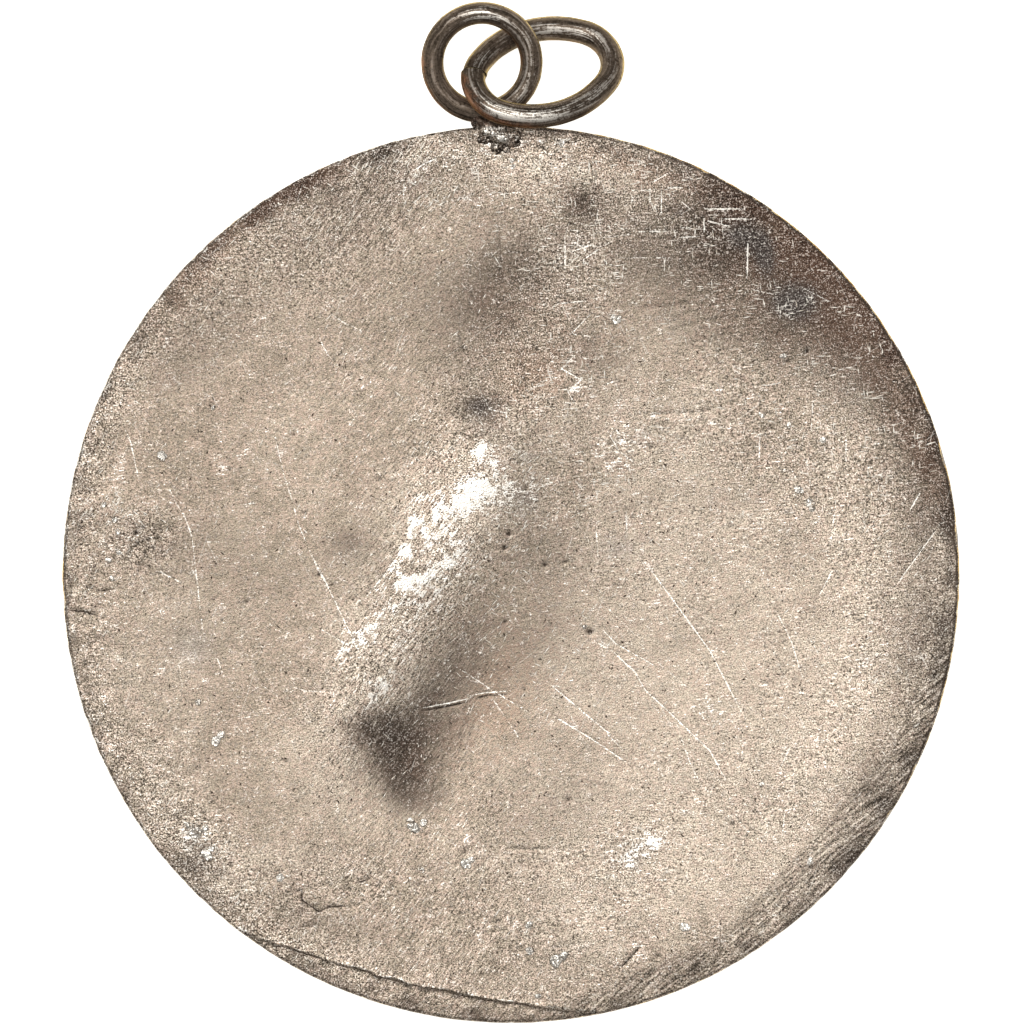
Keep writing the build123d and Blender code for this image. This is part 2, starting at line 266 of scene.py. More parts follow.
CRUST = [
    (92, 600, 150, 12, 88, 0.60), (136, 540, 22, 16, 20, 0.60), (144, 540, 17, 14, 0, 1.00),
    (120, 770, 60, 12, -62, 0.50), (200, 835, 34, 14, -55, 0.85), (300, 900, 34, 14, -15, 0.60),
    (360, 885, 20, 10, 10, 0.50), (190, 250, 90, 10, 50, 0.50), (102, 400, 70, 10, 70, 0.75),
    (500, 140, 50, 12, 0, 0.55), (330, 160, 90, 9, 22, 0.50), (612, 150, 90, 8, -14, 0.60),
    (400, 985, 200, 20, -14, 0.30),
]
KEEN = [
    (550, 300, 125, 42, 66, 0.95), (655, 200, 95, 34, -15, 0.95), (745, 255, 60, 48, -50, 0.80),
    (800, 340, 60, 46, -50, 0.50), (470, 450, 66, 28, 66, 0.60), (445, 540, 80, 28, 66, 0.62),
    (395, 640, 76, 28, 62, 0.58), (350, 700, 50, 30, 40, 0.40), (400, 745, 40, 46, 60, 0.45),
    (290, 230, 100, 60, 25, 0.60), (400, 175, 110, 34, 12, 0.55), (510, 155, 90, 28, 0, 0.68),
    (150, 310, 130, 34, 54, 0.55), (88, 450, 120, 16, 80, 0.45), (136, 540, 30, 24, 0, 0.80),
    (105, 620, 80, 24, 88, 0.25), (140, 770, 80, 26, -60, 0.60), (190, 850, 40, 24, -45, 0.70),
    (250, 905, 80, 30, -40, 0.45), (340, 880, 50, 24, 0, 0.45), (330, 965, 90, 28, -20, 0.50),
    (540, 870, 80, 46, 0, 0.40), (640, 860, 30, 24, 40, 0.50), (560, 960, 120, 36, 0, 0.40),
    (885, 450, 110, 56, -75, 0.50), (800, 480, 60, 46, 0, 0.36), (908, 600, 120, 46, 88, 0.55),
    (860, 720, 110, 66, 70, 0.45), (810, 860, 100, 56, 50, 0.42), (690, 800, 110, 56, 30, 0.25),
    (680, 430, 110, 56, 0, 0.30), (620, 560, 120, 56, 0, 0.20),
]

# Small holes left by the casting: right, down, radius
PITS = [
    (294, 435, 1.5), (305, 513, 1.2), (319, 575, 1.5), (465, 852, 1.5), (490, 923, 1.2),
    (569, 800, 1.5), (658, 956, 1.6), (733, 824, 1.6), (788, 361, 1.5), (807, 351, 2.1),
    (136, 533, 1.9), (144, 528, 1.5), (148, 540, 2.1), (139, 545, 1.6), (153, 548, 1.7),
    (146, 552, 1.4), (131, 541, 1.4), (158, 538, 1.4), (509, 534, 2.5), (505, 548, 2.5),
    (545, 565, 2.2), (566, 562, 1.6), (442, 497, 1.2), (652, 447, 1.5), (590, 632, 2.8),
    (247, 602, 1.5), (214, 600, 1.2), (353, 600, 1.2), (420, 884, 1.4), (610, 444, 1.6),
    (695, 342, 1.2), (742, 300, 1.4), (864, 470, 1.2), (330, 760, 1.2), (270, 700, 1.2),
    (620, 900, 1.2), (505, 622, 1.6), (525, 690, 1.2), (380, 480, 1.4), (230, 470, 1.2),
]

# Beads and lumps of metal from the casting: right, down, radius
NODULES = [
    (162, 456, 5.5), (198, 702, 5.5), (216, 741, 5.5), (221, 735, 4.5), (196, 833, 8.5),
    (190, 826, 5.0), (205, 828, 5.0), (207, 855, 6.0), (211, 849, 4.0), (280, 878, 5.0),
    (414, 828, 8.0), (423, 823, 5.0), (411, 821, 4.0), (421, 870, 4.0), (466, 864, 6.0),
    (471, 860, 4.5), (556, 961, 8.5), (564, 956, 6.5), (530, 951, 5.5), (529, 925, 4.5),
    (538, 996, 4.0), (685, 927, 5.5), (810, 861, 4.0), (762, 785, 3.5), (799, 490, 5.5),
    (810, 503, 6.0), (812, 509, 4.0), (823, 440, 4.0), (789, 425, 3.5), (761, 415, 3.0),
    (783, 356, 4.0), (617, 320, 5.0), (613, 317, 3.5), (562, 143, 4.5), (513, 167, 3.0),
    (512, 161, 2.5), (213, 408, 3.0), (585, 627, 3.5), (115, 520, 4.0), (118, 532, 3.0),
    (104, 505, 3.5), (108, 560, 3.5), (119, 553, 3.0), (112, 578, 3.5),
]

# Scratches: strength, then the places that each one runs through
SCRATCHES = [
    (1.0, (418, 709), (450, 703), (472, 698)), (0.9, (470, 696), (484, 693), (511, 691)),
    (0.7, (315, 560), (340, 612), (361, 656)), (0.6, (320, 629), (350, 646)),
    (0.6, (290, 686), (305, 691), (331, 692)), (0.5, (260, 684), (278, 697)),
    (0.5, (443, 658), (490, 689), (543, 721)), (0.5, (490, 695), (522, 742)),
    (0.9, (545, 680), (590, 718), (620, 742)), (0.9, (545, 711), (590, 738), (636, 769)),
    (0.5, (584, 635), (620, 656)),
    (0.9, (600, 640), (635, 672), (645, 690), (671, 714), (710, 751), (722, 773), (735, 794)),
    (0.8, (600, 627), (616, 644), (643, 659), (663, 671)),
    (1.0, (640, 556), (656, 577), (673, 600), (710, 651), (729, 688), (745, 718)),
    (0.6, (679, 731), (690, 763), (704, 792)), (0.6, (600, 727), (624, 751)),
    (0.7, (773, 604), (792, 643), (804, 682)), (0.5, (810, 639), (820, 657)),
    (0.5, (831, 663), (817, 686)), (0.6, (792, 743), (780, 769)), (0.5, (786, 800), (781, 851)),
    (0.9, (942, 522), (895, 587)), (0.8, (833, 569), (817, 600)), (0.9, (920, 493), (910, 510)),
    (0.5, (866, 525), (860, 537)), (0.5, (722, 542), (762, 550)), (0.9, (760, 434), (759, 462)),
    (0.7, (813, 401), (811, 434)), (0.8, (846, 435), (846, 464)), (0.8, (835, 509), (831, 538)),
    (0.8, (596, 527), (598, 557)), (0.8, (626, 512), (627, 533)), (0.9, (565, 238), (565, 270)),
    (0.8, (662, 183), (661, 216)), (0.6, (632, 198), (631, 207)), (1.0, (748, 239), (747, 278)),
    (0.8, (704, 215), (704, 233)), (0.5, (405, 167), (403, 208)), (0.8, (664, 188), (687, 188)),
    (0.9, (701, 209), (744, 209)), (0.9, (721, 219), (750, 219)), (0.6, (675, 238), (704, 236)),
    (0.6, (613, 258), (670, 258)), (0.6, (801, 287), (830, 302)), (0.6, (749, 289), (777, 295)),
    (0.7, (605, 385), (614, 381)), (0.7, (488, 409), (506, 413), (507, 424)),
    (0.6, (363, 602), (399, 556)), (0.4, (531, 428), (560, 463), (589, 497)),
    (0.6, (272, 422), (283, 472), (291, 497), (299, 526), (320, 574), (337, 600)),
    (0.4, (311, 300), (347, 325), (360, 329)),
    (0.5, (316, 317), (320, 340), (328, 355), (339, 367)),
    (0.7, (122, 422), (131, 443), (139, 482)),
    (0.6, (161, 472), (175, 501), (186, 520), (192, 537), (199, 598), (201, 617), (206, 654)),
    (0.5, (215, 652), (224, 678)), (0.5, (178, 660), (182, 684)), (0.7, (156, 570), (182, 583)),
    (0.6, (203, 542), (221, 542)),
    (0.4, (424, 224), (424, 213), (445, 202), (468, 198), (480, 207)),
    (0.9, (410, 173), (424, 164), (438, 158)), (0.5, (490, 195), (528, 192)),
    (0.4, (407, 254), (430, 254), (461, 245)), (0.4, (318, 233), (325, 290)),
    (0.4, (350, 175), (375, 185)),
    (0.8, (579, 350), (562, 369), (581, 380), (568, 392), (579, 411)),
    (0.9, (608, 432), (619, 451), (636, 464)), (0.6, (192, 570), (196, 578)),
    (0.5, (240, 505), (256, 503)), (0.5, (223, 582), (230, 592)), (0.6, (460, 574), (430, 600)),
    (0.5, (470, 560), (452, 580)), (0.5, (600, 600), (640, 640)), (0.5, (530, 610), (531, 625)),
    (0.4, (640, 620), (660, 638)), (0.5, (655, 660), (690, 690)), (0.7, (598, 208), (597, 221)),
    (0.5, (598, 210), (620, 210)), (0.7, (552, 209), (558, 219)), (0.7, (552, 218), (565, 218)),
    (0.8, (570, 335), (594, 311)), (0.6, (570, 334), (589, 336)), (0.8, (557, 304), (586, 301)),
    (0.7, (568, 253), (597, 243)), (0.7, (580, 262), (613, 240)), (0.6, (574, 245), (612, 247)),
    (0.6, (602, 238), (634, 234)), (0.6, (634, 232), (671, 231)), (0.7, (648, 185), (670, 172)),
    (0.8, (650, 188), (650, 205)), (0.5, (596, 170), (596, 188)), (0.7, (681, 201), (692, 211)),
    (0.7, (707, 221), (732, 227)), (0.6, (636, 191), (664, 189)),
    (0.6, (372, 706), (384, 682), (392, 668)), (0.6, (380, 712), (400, 684)),
    (0.5, (396, 716), (416, 700)), (0.6, (360, 700), (366, 668)), (0.5, (712, 306), (736, 304)),
    (0.5, (704, 320), (724, 326)), (0.6, (712, 292), (731, 288)), (0.5, (696, 338), (712, 344)),
]

# Dark cracks and folds in the skin of the metal, in the same way. The first two lie along the
# long scratch and are a painted shadow under it
CRACKS_AND_SHADOWS = [
    (0.9, (419, 712), (450, 706), (472, 701)), (0.8, (473, 699), (486, 696), (511, 694)),
    (0.4, (458, 742), (470, 716)), (0.4, (466, 744), (477, 718)),
    (0.8, (286, 896), (302, 890), (302, 900), (319, 912), (329, 907), (355, 906)),
    (0.7, (355, 883), (366, 881), (371, 875)), (0.6, (508, 849), (553, 849)),
    (0.8, (619, 970), (643, 944)), (0.5, (640, 415), (680, 413), (722, 409)),
    (0.5, (499, 222), (502, 274), (508, 300)), (0.5, (518, 340), (529, 397)),
    (0.5, (300, 927), (317, 926)), (0.7, (82, 586), (100, 591), (118, 589)),
    (0.8, (66, 610), (85, 612), (104, 618)), (0.7, (66, 560), (72, 590), (69, 610)),
    (0.6, (130, 562), (150, 568), (162, 576)), (0.2, (700, 306), (640, 340)),
    (0.35, (640, 309), (700, 303)), (0.2, (650, 335), (720, 318), (790, 322)),
]

# Paths of the loop and of the jump ring, as in the solids
LOOP_CENTRE = Vector((-1.46, 22.5570, 2.17))
LOOP_RADIUS = 2.485
LOOP_TILT = radians(6.0)
LOOP_STEPS = 260
RING_CENTRE = Vector((1.60684, 22.06392, 2.13010))
RING_ALONG = Vector((0.9247, 0.279183, -0.258819))
RING_FACE = Vector((0.0765813, 0.5295453, 0.8448178))
RING_HALF_LENGTH = 3.6
RING_HALF_WIDTH = 2.505
RING_END_RADIUS = 1.95
RING_STEPS = 340

# Cut of the jump ring: its heading and half its width on the ring, how far the end that was
# bent stands out, and over how many steps it bends
RING_CUT_PLACE = 148.0
RING_CUT_HALF = 0.7
RING_END_OFFSET = 0.07
RING_END_STEPS = 28

# Both wires: points around, and depth of the dents in metres
WIRE_STEPS = 44
WIRE_DENT = 0.000035

# A nick pressed into the loop, and a burr raised at the ring's cut: reach and depth
NICK_ANGLE = 143
NICK_OFFSET = Vector((-0.20, 0.20, 0.50))
NICK_REACH = 0.45
NICK_DEPTH = 0.09
BURR_PLACE = (487, 77)
BURR_REACH = 0.22
BURR_HEIGHT = 0.07

# Drops of solder: right, down, height, and the radii across, up and high
SOLDER_DROPS = [
    (502, 136, 2.30, 0.60, 0.42, 0.42), (488, 132, 2.26, 0.46, 0.28, 0.34),
    (515, 134, 2.24, 0.40, 0.34, 0.36), (497, 147, 2.18, 0.36, 0.44, 0.28),
    (512, 142, 2.22, 0.46, 0.30, 0.32), (484, 139, 2.20, 0.36, 0.30, 0.28),
    (505, 150, 2.17, 0.30, 0.22, 0.22), (488, 125, 2.00, 0.62, 0.46, 0.60),
    (503, 127, 2.14, 0.62, 0.30, 0.44), (480, 121, 1.92, 0.48, 0.50, 0.62),
    (486, 117, 1.82, 0.50, 0.46, 0.64), (476, 115, 1.84, 0.38, 0.36, 0.58),
]

# Where the wires and the solder get painted highlights, partly where they are rubbed bright: right,
# down, reach, strength
LOOP_HIGHLIGHTS = [
    (488, 12, 20, 0.90), (520, 36, 14, 0.35), (530, 70, 14, 0.40), (518, 98, 12, 0.60),
]
RING_HIGHLIGHTS = [
    (505, 112, 22, 1.00), (545, 110, 26, 1.00), (582, 98, 22, 0.90), (484, 62, 12, 0.80),
    (482, 92, 12, 0.60), (487, 77, 4, 1.00), (548, 29, 26, 0.50), (590, 38, 18, 0.60),
    (610, 62, 18, 0.55),
]
SOLDER_HIGHLIGHTS = [
    (500, 135, 6, 1.00), (496, 131, 6, 0.80), (489, 129, 4, 0.90), (479, 140, 2, 0.90),
    (517, 139, 2, 0.80), (497, 146, 3, 0.80), (506, 153, 3, 0.60),
]

# Where they are stained, in the same way
LOOP_STAINS = [
    (424, 66, 9, 0.45), (430, 94, 8, 0.40), (519, 60, 12, 0.30), (508, 88, 8, 0.40),
]
RING_STAINS = [
    (466, 98, 9, 1.00), (474, 112, 9, 1.00), (486, 121, 9, 1.00), (502, 127, 9, 0.90),
    (463, 80, 5, 0.90), (522, 129, 12, 0.60),
]
SOLDER_STAINS = [
    (515, 141, 6, 0.55), (481, 140, 5, 0.50), (500, 151, 4, 0.40),
]


# Sizes and finishes that a user would change

def length(name, description, default, least, precision=5):
    """A length in metres that a user can set."""
    return bpy.props.FloatProperty(
        name=name, description=description, default=default, min=least, unit="LENGTH", precision=precision)


def tint(name, description, default):
    """A colour that a user can set."""
    return bpy.props.FloatVectorProperty(
        name=name, description=description, default=default, subtype="COLOR", size=3, min=0.0, max=1.0)


class MedalSizes(bpy.types.PropertyGroup):
    """Sizes of the medal, its solder and its rings."""
    medal_thickness: length(
        "Medal thickness", "Thickness of the cast metal at its edge", 0.0024, 0.001)
    edge_round: length(
        "Edge rounding", "Radius worn on the edge of the back", 0.00014, 0.0)
    lattice: length(
        "Surface spacing", "Distance between neighbouring points of the back", 0.000166, 0.0001, 6)
    rim_steps: bpy.props.IntProperty(
        name="Rim steps", description="Number of points around the rim", default=900, min=100)
    loop_wire: length(
        "Loop wire", "Diameter of the soldered loop's wire", 0.00115, 0.0002)
    ring_wire: length(
        "Ring wire", "Diameter of the jump ring's wire", 0.00125, 0.0002)


class MedalColours(bpy.types.PropertyGroup):
    """Colours of the metal and of the ground."""
    silver: tint(
        "Silver", "Hand-worn silver between the stains", (0.325, 0.268, 0.204))
    pale_silver: tint(
        "Pale silver", "Silver where the back is rubbed most", (0.51, 0.433, 0.345))
    bare_silver: tint(
        "Bare silver", "Burnished spots and fresh scratches", (0.92, 0.88, 0.81))
    rosy_silver: tint(
        "Rosy silver", "Warmer specks in the worn silver", (0.42, 0.315, 0.255))
    tarnish: tint(
        "Tarnish", "Dark sulphide on the silver", (0.052, 0.037, 0.028))
    copper_stain: tint(
        "Copper stain", "Reddish brown where copper shows in the alloy", (0.225, 0.140, 0.092))
    ash_bloom: tint(
        "Ash bloom", "Grey bloom on the silver", (0.225, 0.221, 0.219))
    slate: tint(
        "Slate", "Thick grey sulphide", (0.043, 0.041, 0.041))
    red_film: tint(
        "Red film", "Dark red oxide over copper-rich metal", (0.105, 0.055, 0.036))
    # The warm edge and the bright edge are a painted reflection and painted glints along the rim
    gold_edge_sheen: tint(
        "Warm edge", "Yellow-brown line along the rim", (0.62, 0.40, 0.15))
    gold_glint: tint(
        "Bright edge", "Pale yellow glints along the rim", (0.90, 0.74, 0.42))
    # Olive gold is a painted reflection on the sides of the wires
    olive_gold_sheen: tint(
        "Olive gold", "Warm film on the sides of the wires", (0.48, 0.38, 0.18))
    wire_red: tint(
        "Wire red", "Copper-brown stain on the sides of the wires", (0.235, 0.115, 0.068))
    wire_brown: tint(
        "Wire", "Dark oxidised wire", (0.132, 0.102, 0.080))
    ground: tint(
        "Ground", "Pale ground under the medal", (0.90, 0.89, 0.86))


# Places and heights on the medal, in millimetres from its centre

def on_sheet(right, down):
    """A place on the sheet of squares, as millimetres across and up from the medal's centre."""
    return (right - SHEET_CENTRE[0]) * SHEET_SQUARE, (SHEET_CENTRE[1] - down) * SHEET_SQUARE


def on_medal(angle, radius):
    """A place at an angle from +X and a distance from the medal's centre."""
    return radius * cos(radians(angle)), radius * sin(radians(angle))


def eased(value, low, high):
    """0 below low, 1 above high, and a smooth rise between."""
    t = np.clip((value - low) / (high - low), 0, 1)
    return t * t * (3 - 2 * t)


def fading(value, middle, width):
    """1 at the middle, fading to 0 on both sides of it."""
    return np.exp(-0.5 * ((value - middle) / width) ** 2)


def cloud(x, y, cell, seed):
    """Smooth random values between -1 and 1, with lumps about one cell wide."""
    table = np.random.default_rng(seed).uniform(-1, 1, (256, 256))
    u = x / cell + 128
    v = y / cell + 128
    i = np.floor(u).astype(int)
    j = np.floor(v).astype(int)
    a = u - i
    b = v - j
    a = a * a * (3 - 2 * a)
    b = b * b * (3 - 2 * b)
    i0 = i % 256
    j0 = j % 256
    i1 = (i + 1) % 256
    j1 = (j + 1) % 256
    low = table[i0, j0] * (1 - a) + table[i1, j0] * a
    high = table[i0, j1] * (1 - a) + table[i1, j1] * a
    return low * (1 - b) + high * b


def ripple(wave, x, y):
    """A wave's height at each place, above or below its middle."""
    depth, cell, seed = wave
    return depth * cloud(x, y, cell, seed)


def swell(wave, x, y):
    """A wave's height at each place, never below 0."""
    depth, cell, seed = wave
    return depth * (1 + cloud(x, y, cell, seed))


def oval(x, y, along, beside, heading):
    """1 in the middle of a turned oval, fading to 0 beyond its reach along and beside."""
    turn = radians(heading)
    u = (x * cos(turn) + y * sin(turn)) / along
    v = (y * cos(turn) - x * sin(turn)) / beside
    return np.exp(-0.5 * (u * u + v * v))


def spots(table, x, y):
    """How strongly the spots of a table cover each place, from 0 to 1."""
    bare = np.ones_like(x)
    for right, down, along, beside, heading, strength in table:
        across, up = on_sheet(right, down)
        cover = oval(x - across, y - up, along * SHEET_SQUARE, beside * SHEET_SQUARE, heading)
        bare *= 1 - strength * cover
    return 1 - bare


def away(x, y, right, down, reach):
    """How far each place is from a place on the sheet, as a share of a reach in squares."""
    across, up = on_sheet(right, down)
    return np.hypot(x - across, y - up) / (reach * SHEET_SQUARE)


def near(table, x, y):
    """How near each place is to the spots of a table: right, down, reach and strength."""
    found = np.zeros_like(x)
    for right, down, reach, strength in table:
        found = np.maximum(found, strength * fading(away(x, y, right, down, reach), 0.0, 1.0))
    return found


def lines(table, x, y, half_width):
    """How strongly the drawn lines of a table mark each place, from 0 to 1."""
    mark = np.zeros_like(x)
    for strength, *places in table:
        path = np.array([on_sheet(*place) for place in places])
        low = path.min(0) - half_width
        high = path.max(0) + half_width
        close = np.flatnonzero((x > low[0]) & (x < high[0]) & (y > low[1]) & (y < high[1]))
        if not len(close):
            continue
        px = x[close]
        py = y[close]
        steps = path[1:] - path[:-1]
        lengths = np.hypot(*steps.T)
        run = 0.0
        found = np.zeros(len(close))
        for start, step, reach in zip(path[:-1], steps, lengths):
            t = np.clip(((px - start[0]) * step[0] + (py - start[1]) * step[1]) / reach**2, 0, 1)
            gap = np.hypot(px - start[0] - t * step[0], py - start[1] - t * step[1])
            share = (run + t * reach) / lengths.sum()
            fade = np.clip(6 * share, 0.35, 1) * np.clip(6 * (1 - share), 0.35, 1)
            found = np.maximum(found, strength * fade * np.clip(1 - gap / half_width, 0, 1))
            run += reach
        mark[close] = np.maximum(mark[close], found)
    return mark


def circle_through(first, second, third):
    """Centre and radius of the circle through three places."""
    ax, ay = first
    bx, by = second
    cx, cy = third
    d = 2 * (ax * (by - cy) + bx * (cy - ay) + cx * (ay - by))
    a2 = ax * ax + ay * ay
    b2 = bx * bx + by * by
    c2 = cx * cx + cy * cy
    x = (a2 * (by - cy) + b2 * (cy - ay) + c2 * (ay - by)) / d
    y = (a2 * (cx - bx) + b2 * (ax - cx) + c2 * (bx - ax)) / d
    return x, y, hypot(ax - x, ay - y)


STEP_START = on_medal(STEP_ANGLES[0], MEDAL_RADIUS)
STEP_MIDDLE = on_medal(STEP_ANGLES[1], MEDAL_RADIUS - STEP_WIDTH)
STEP_END = on_medal(STEP_ANGLES[2], MEDAL_RADIUS)
STEP_CIRCLE = circle_through(STEP_START, STEP_MIDDLE, STEP_END)


def step_reach(x, y):
    """How far a place lies beyond the upper edge of the crescent step."""
    centre_x, centre_y, radius = STEP_CIRCLE
    reach = np.hypot(x - centre_x, y - centre_y) - radius
    ragged = reach + ripple(STEP_WAVE, x, y) + ripple(STEP_RIPPLE, x, y)
    return np.where(y < -0.6 * MEDAL_RADIUS, ragged, -9.0)


def facet_distance(x, y, heading):
    """How far a place lies from the centre along a filed facet's heading, with the file's waver."""
    across, up = on_medal(heading, 1)
    return x * across + y * up + ripple(FACET_WAVE, x, y)


def smooth_back(x, y, thickness):
    """Height of the back without its small marks."""
    height = np.full_like(x, BACK_LEVEL_SHARE)
    for across, up, along, beside, heading, rise in BACK_FORMS:
        height += rise * oval(x / MEDAL_RADIUS - across, y / MEDAL_RADIUS - up, along, beside, heading)
    return height * thickness


def back_height(x, y, thickness):
    """Height of the worn back above the table."""
    height = smooth_back(x, y, thickness)
    for heading, start, slope in FILED_FACETS:
        distance = facet_distance(x, y, heading)
        brow_x, brow_y = on_medal(heading, start)
        brow = smooth_back(np.array([brow_x]), np.array([brow_y]), thickness)[0]
        facet = brow - (distance - start) * tan(radians(slope))
        height = np.where(distance > start, np.minimum(height, facet), height)
    beyond = step_reach(x, y)
    height -= STEP_DEPTH * eased(beyond, 0.0, 0.10)
    height += swell(STEP_RIDGE, x, y) * fading(beyond, -0.04, 0.05)
    height += sum(ripple(wave, x, y) for wave in BACK_WAVES)
    height += spots(CRUST, x, y) * (sum(ripple(wave, x, y) for wave in CRUST_WAVES) - CRUST_SINK)
    for right, down, radius in PITS:
        gap = away(x, y, right, down, radius)
        height -= PIT_DEPTH_SHARE * radius * SHEET_SQUARE * np.exp(-1.4 * gap**2)
    height -= SCRATCH_DEPTH * lines(SCRATCHES, x, y, SCRATCH_HALF_WIDTH)
    height -= CRACK_DEPTH * lines(CRACKS_AND_SHADOWS, x, y, CRACK_HALF_WIDTH)
    return height


def rim_inset(angle, level):
    """How far dents and filing take the rim in, at an angle and a height."""
    x = MEDAL_RADIUS * np.cos(angle)
    y = MEDAL_RADIUS * np.sin(angle)
    ragged = swell(RIM_DENTS, x, y + 3 * level) + swell(RIM_HOLLOWS, x, y)
    depth, cell, seed = RIM_CHIPS
    chips = depth * eased(cloud(x, y, cell, seed), 0.55, 0.95) * eased(level, 1.1, 1.9)
    return ragged + chips


# Meshes

def linked(name, data):
    """Puts an object in the scene at the origin."""
    piece = bpy.data.objects.new(name, data)
    bpy.context.scene.collection.objects.link(piece)
    return piece


def made_plain(piece):
    """Gives a piece the plain mesh that its modifiers make, and removes them."""
    graph = bpy.context.evaluated_depsgraph_get()
    graph.update()
    mesh = bpy.data.meshes.new_from_object(piece.evaluated_get(graph), depsgraph=graph)
    piece.modifiers.clear()
    old = piece.data
    piece.data = mesh
    mesh.name = piece.name
    bpy.data.meshes.remove(old)
    return mesh


def turned_outwards(mesh):
    """Turns every face of a closed mesh outwards."""
    shell = bmesh.new()
    shell.from_mesh(mesh)
    bmesh.ops.recalc_face_normals(shell, faces=shell.faces)
    shell.to_mesh(mesh)
    shell.free()


def marked(mesh, name, values):
    """Keeps one number for each point of a mesh, for its material to read."""
    layer = mesh.attributes.new(name, "FLOAT", "POINT")
    layer.data.foreach_set("value", np.asarray(np.broadcast_to(values, len(mesh.vertices)), np.float32))


def places_of(mesh):
    """The points of a mesh as millimetres across, up and high from the medal's centre."""
    x, y, z = np.array([tuple(vertex.co / MM) for vertex in mesh.vertices]).T
    return x, y - MEDAL_CENTRE_Y, z


def triangulated(points):
    """The places that points take in a triangulation, and its triangles."""
    places, _, faces, *_ = delaunay_2d_cdt([Vector(p) for p in points], [], [], 0, 1e-6, False)
    return np.array([tuple(p) for p in places]), faces


def along_path(path, spacing):
    """Places along a path, and the sideways direction at each."""
    stations = []
    for start, end in zip(path[:-1], path[1:]):
        start = np.array(start)
        step = np.array(end) - start
        reach = hypot(*step)
        side = np.array((-step[1], step[0])) / reach
        count = max(1, ceil(reach / spacing))
        stations += [(start + step * i / count, side) for i in range(count)]
    stations.append((np.array(path[-1]), side))
    return stations


def feature_places():
    """Extra places where the back has fine marks, so that their edges are sharp."""
    found = []
    for table, half_width in ((SCRATCHES, SCRATCH_HALF_WIDTH), (CRACKS_AND_SHADOWS, CRACK_HALF_WIDTH)):
        for _, *places in table:
            for place, side in along_path([on_sheet(*p) for p in places], LINE_SPACING):
                found += [place + side * offset for offset in (-half_width, 0, half_width)]
    centre_x, centre_y, radius = STEP_CIRCLE
    first = atan2(STEP_START[1] - centre_y, STEP_START[0] - centre_x)
    last = atan2(STEP_END[1] - centre_y, STEP_END[0] - centre_x)
    for angle in np.linspace(first, last, 150):
        for offset in (-0.14, -0.06, 0.0, 0.065, 0.14):
            reach = radius + offset
            found.append((centre_x + reach * cos(angle), centre_y + reach * sin(angle)))
    for right, down, pit in PITS:
        across, up = on_sheet(right, down)
        found.append((across, up))
        for ring, count in ((0.5, 6), (1.05, 9)):
            reach = ring * pit * SHEET_SQUARE
            for i in range(count):
                angle = 2 * pi * i / count
                found.append((across + reach * cos(angle), up + reach * sin(angle)))
    return found


def lattice_places(spacing, reach):
    """Evenly spread places inside a circle, each moved a little from its row."""
    rng = np.random.default_rng(31)
    rows = int(reach / (spacing * ROW_SHARE)) + 1
    columns = int(reach / spacing) + 1
    j, i = np.mgrid[-rows : rows + 1, -columns : columns + 1]
    x = (i + 0.5 * (j % 2)) * spacing + rng.uniform(-STRAY, STRAY, i.shape) * spacing
    y = j * spacing * ROW_SHARE + rng.uniform(-STRAY, STRAY, i.shape) * spacing
    inside = np.hypot(x, y) < reach
    return np.column_stack((x[inside], y[inside]))


def apart(places, least):
    """The places that keep a least distance from those before them."""
    taken = {}
    kept = []
    for x, y in places:
        i = int(x // least)
        j = int(y // least)
        close = [q for a in (-1, 0, 1) for b in (-1, 0, 1) for q in taken.get((i + a, j + b), ())]
        if all((x - u) ** 2 + (y - v) ** 2 >= least * least for u, v in close):
            taken.setdefault((i, j), []).append((x, y))
            kept.append((x, y))
    return kept


def clear_of(places, others, least):
    """The places that keep a least distance from the others."""
    tree = KDTree(len(others))
    for index, (x, y) in enumerate(others):
        tree.insert((x, y, 0), index)
    tree.balance()
    return [p for p in places if tree.find((p[0], p[1], 0))[2] >= least]


# Finishes

def opaque(colour):
    """A colour with its alpha, or a node's output as it is."""
    return colour if isinstance(colour, Signal) else (*colour, 1.0)


class Signal:
    """One output of a material's nodes, so that sums on outputs can be written plainly."""

    def __init__(self, finish, socket):
        self.finish = finish
        self.socket = socket
        self.centred = None

    def maths(self, operation, first, second):
        """One Math node on two outputs or numbers."""
        return self.finish.node("ShaderNodeMath", {"operation": operation}, {0: first, 1: second})

    def __add__(self, other):
        return self.maths("ADD", self, other)

    def __radd__(self, other):
        return self.maths("ADD", other, self)

    def __sub__(self, other):
        return self.maths("SUBTRACT", self, other)

    def __rsub__(self, other):
        return self.maths("SUBTRACT", other, self)

    def __mul__(self, other):
        return self.maths("MULTIPLY", self, other)

    def __rmul__(self, other):
        return self.maths("MULTIPLY", other, self)

    def at_least(self, other):
        """The larger of the output and another value."""
        return self.maths("MAXIMUM", self, other)

    @property
    def swing(self):
        """The output of a noise less a half, so that it lies about 0. Its node is made once."""
        if self.centred is None:
            self.centred = self - 0.5
        return self.centred


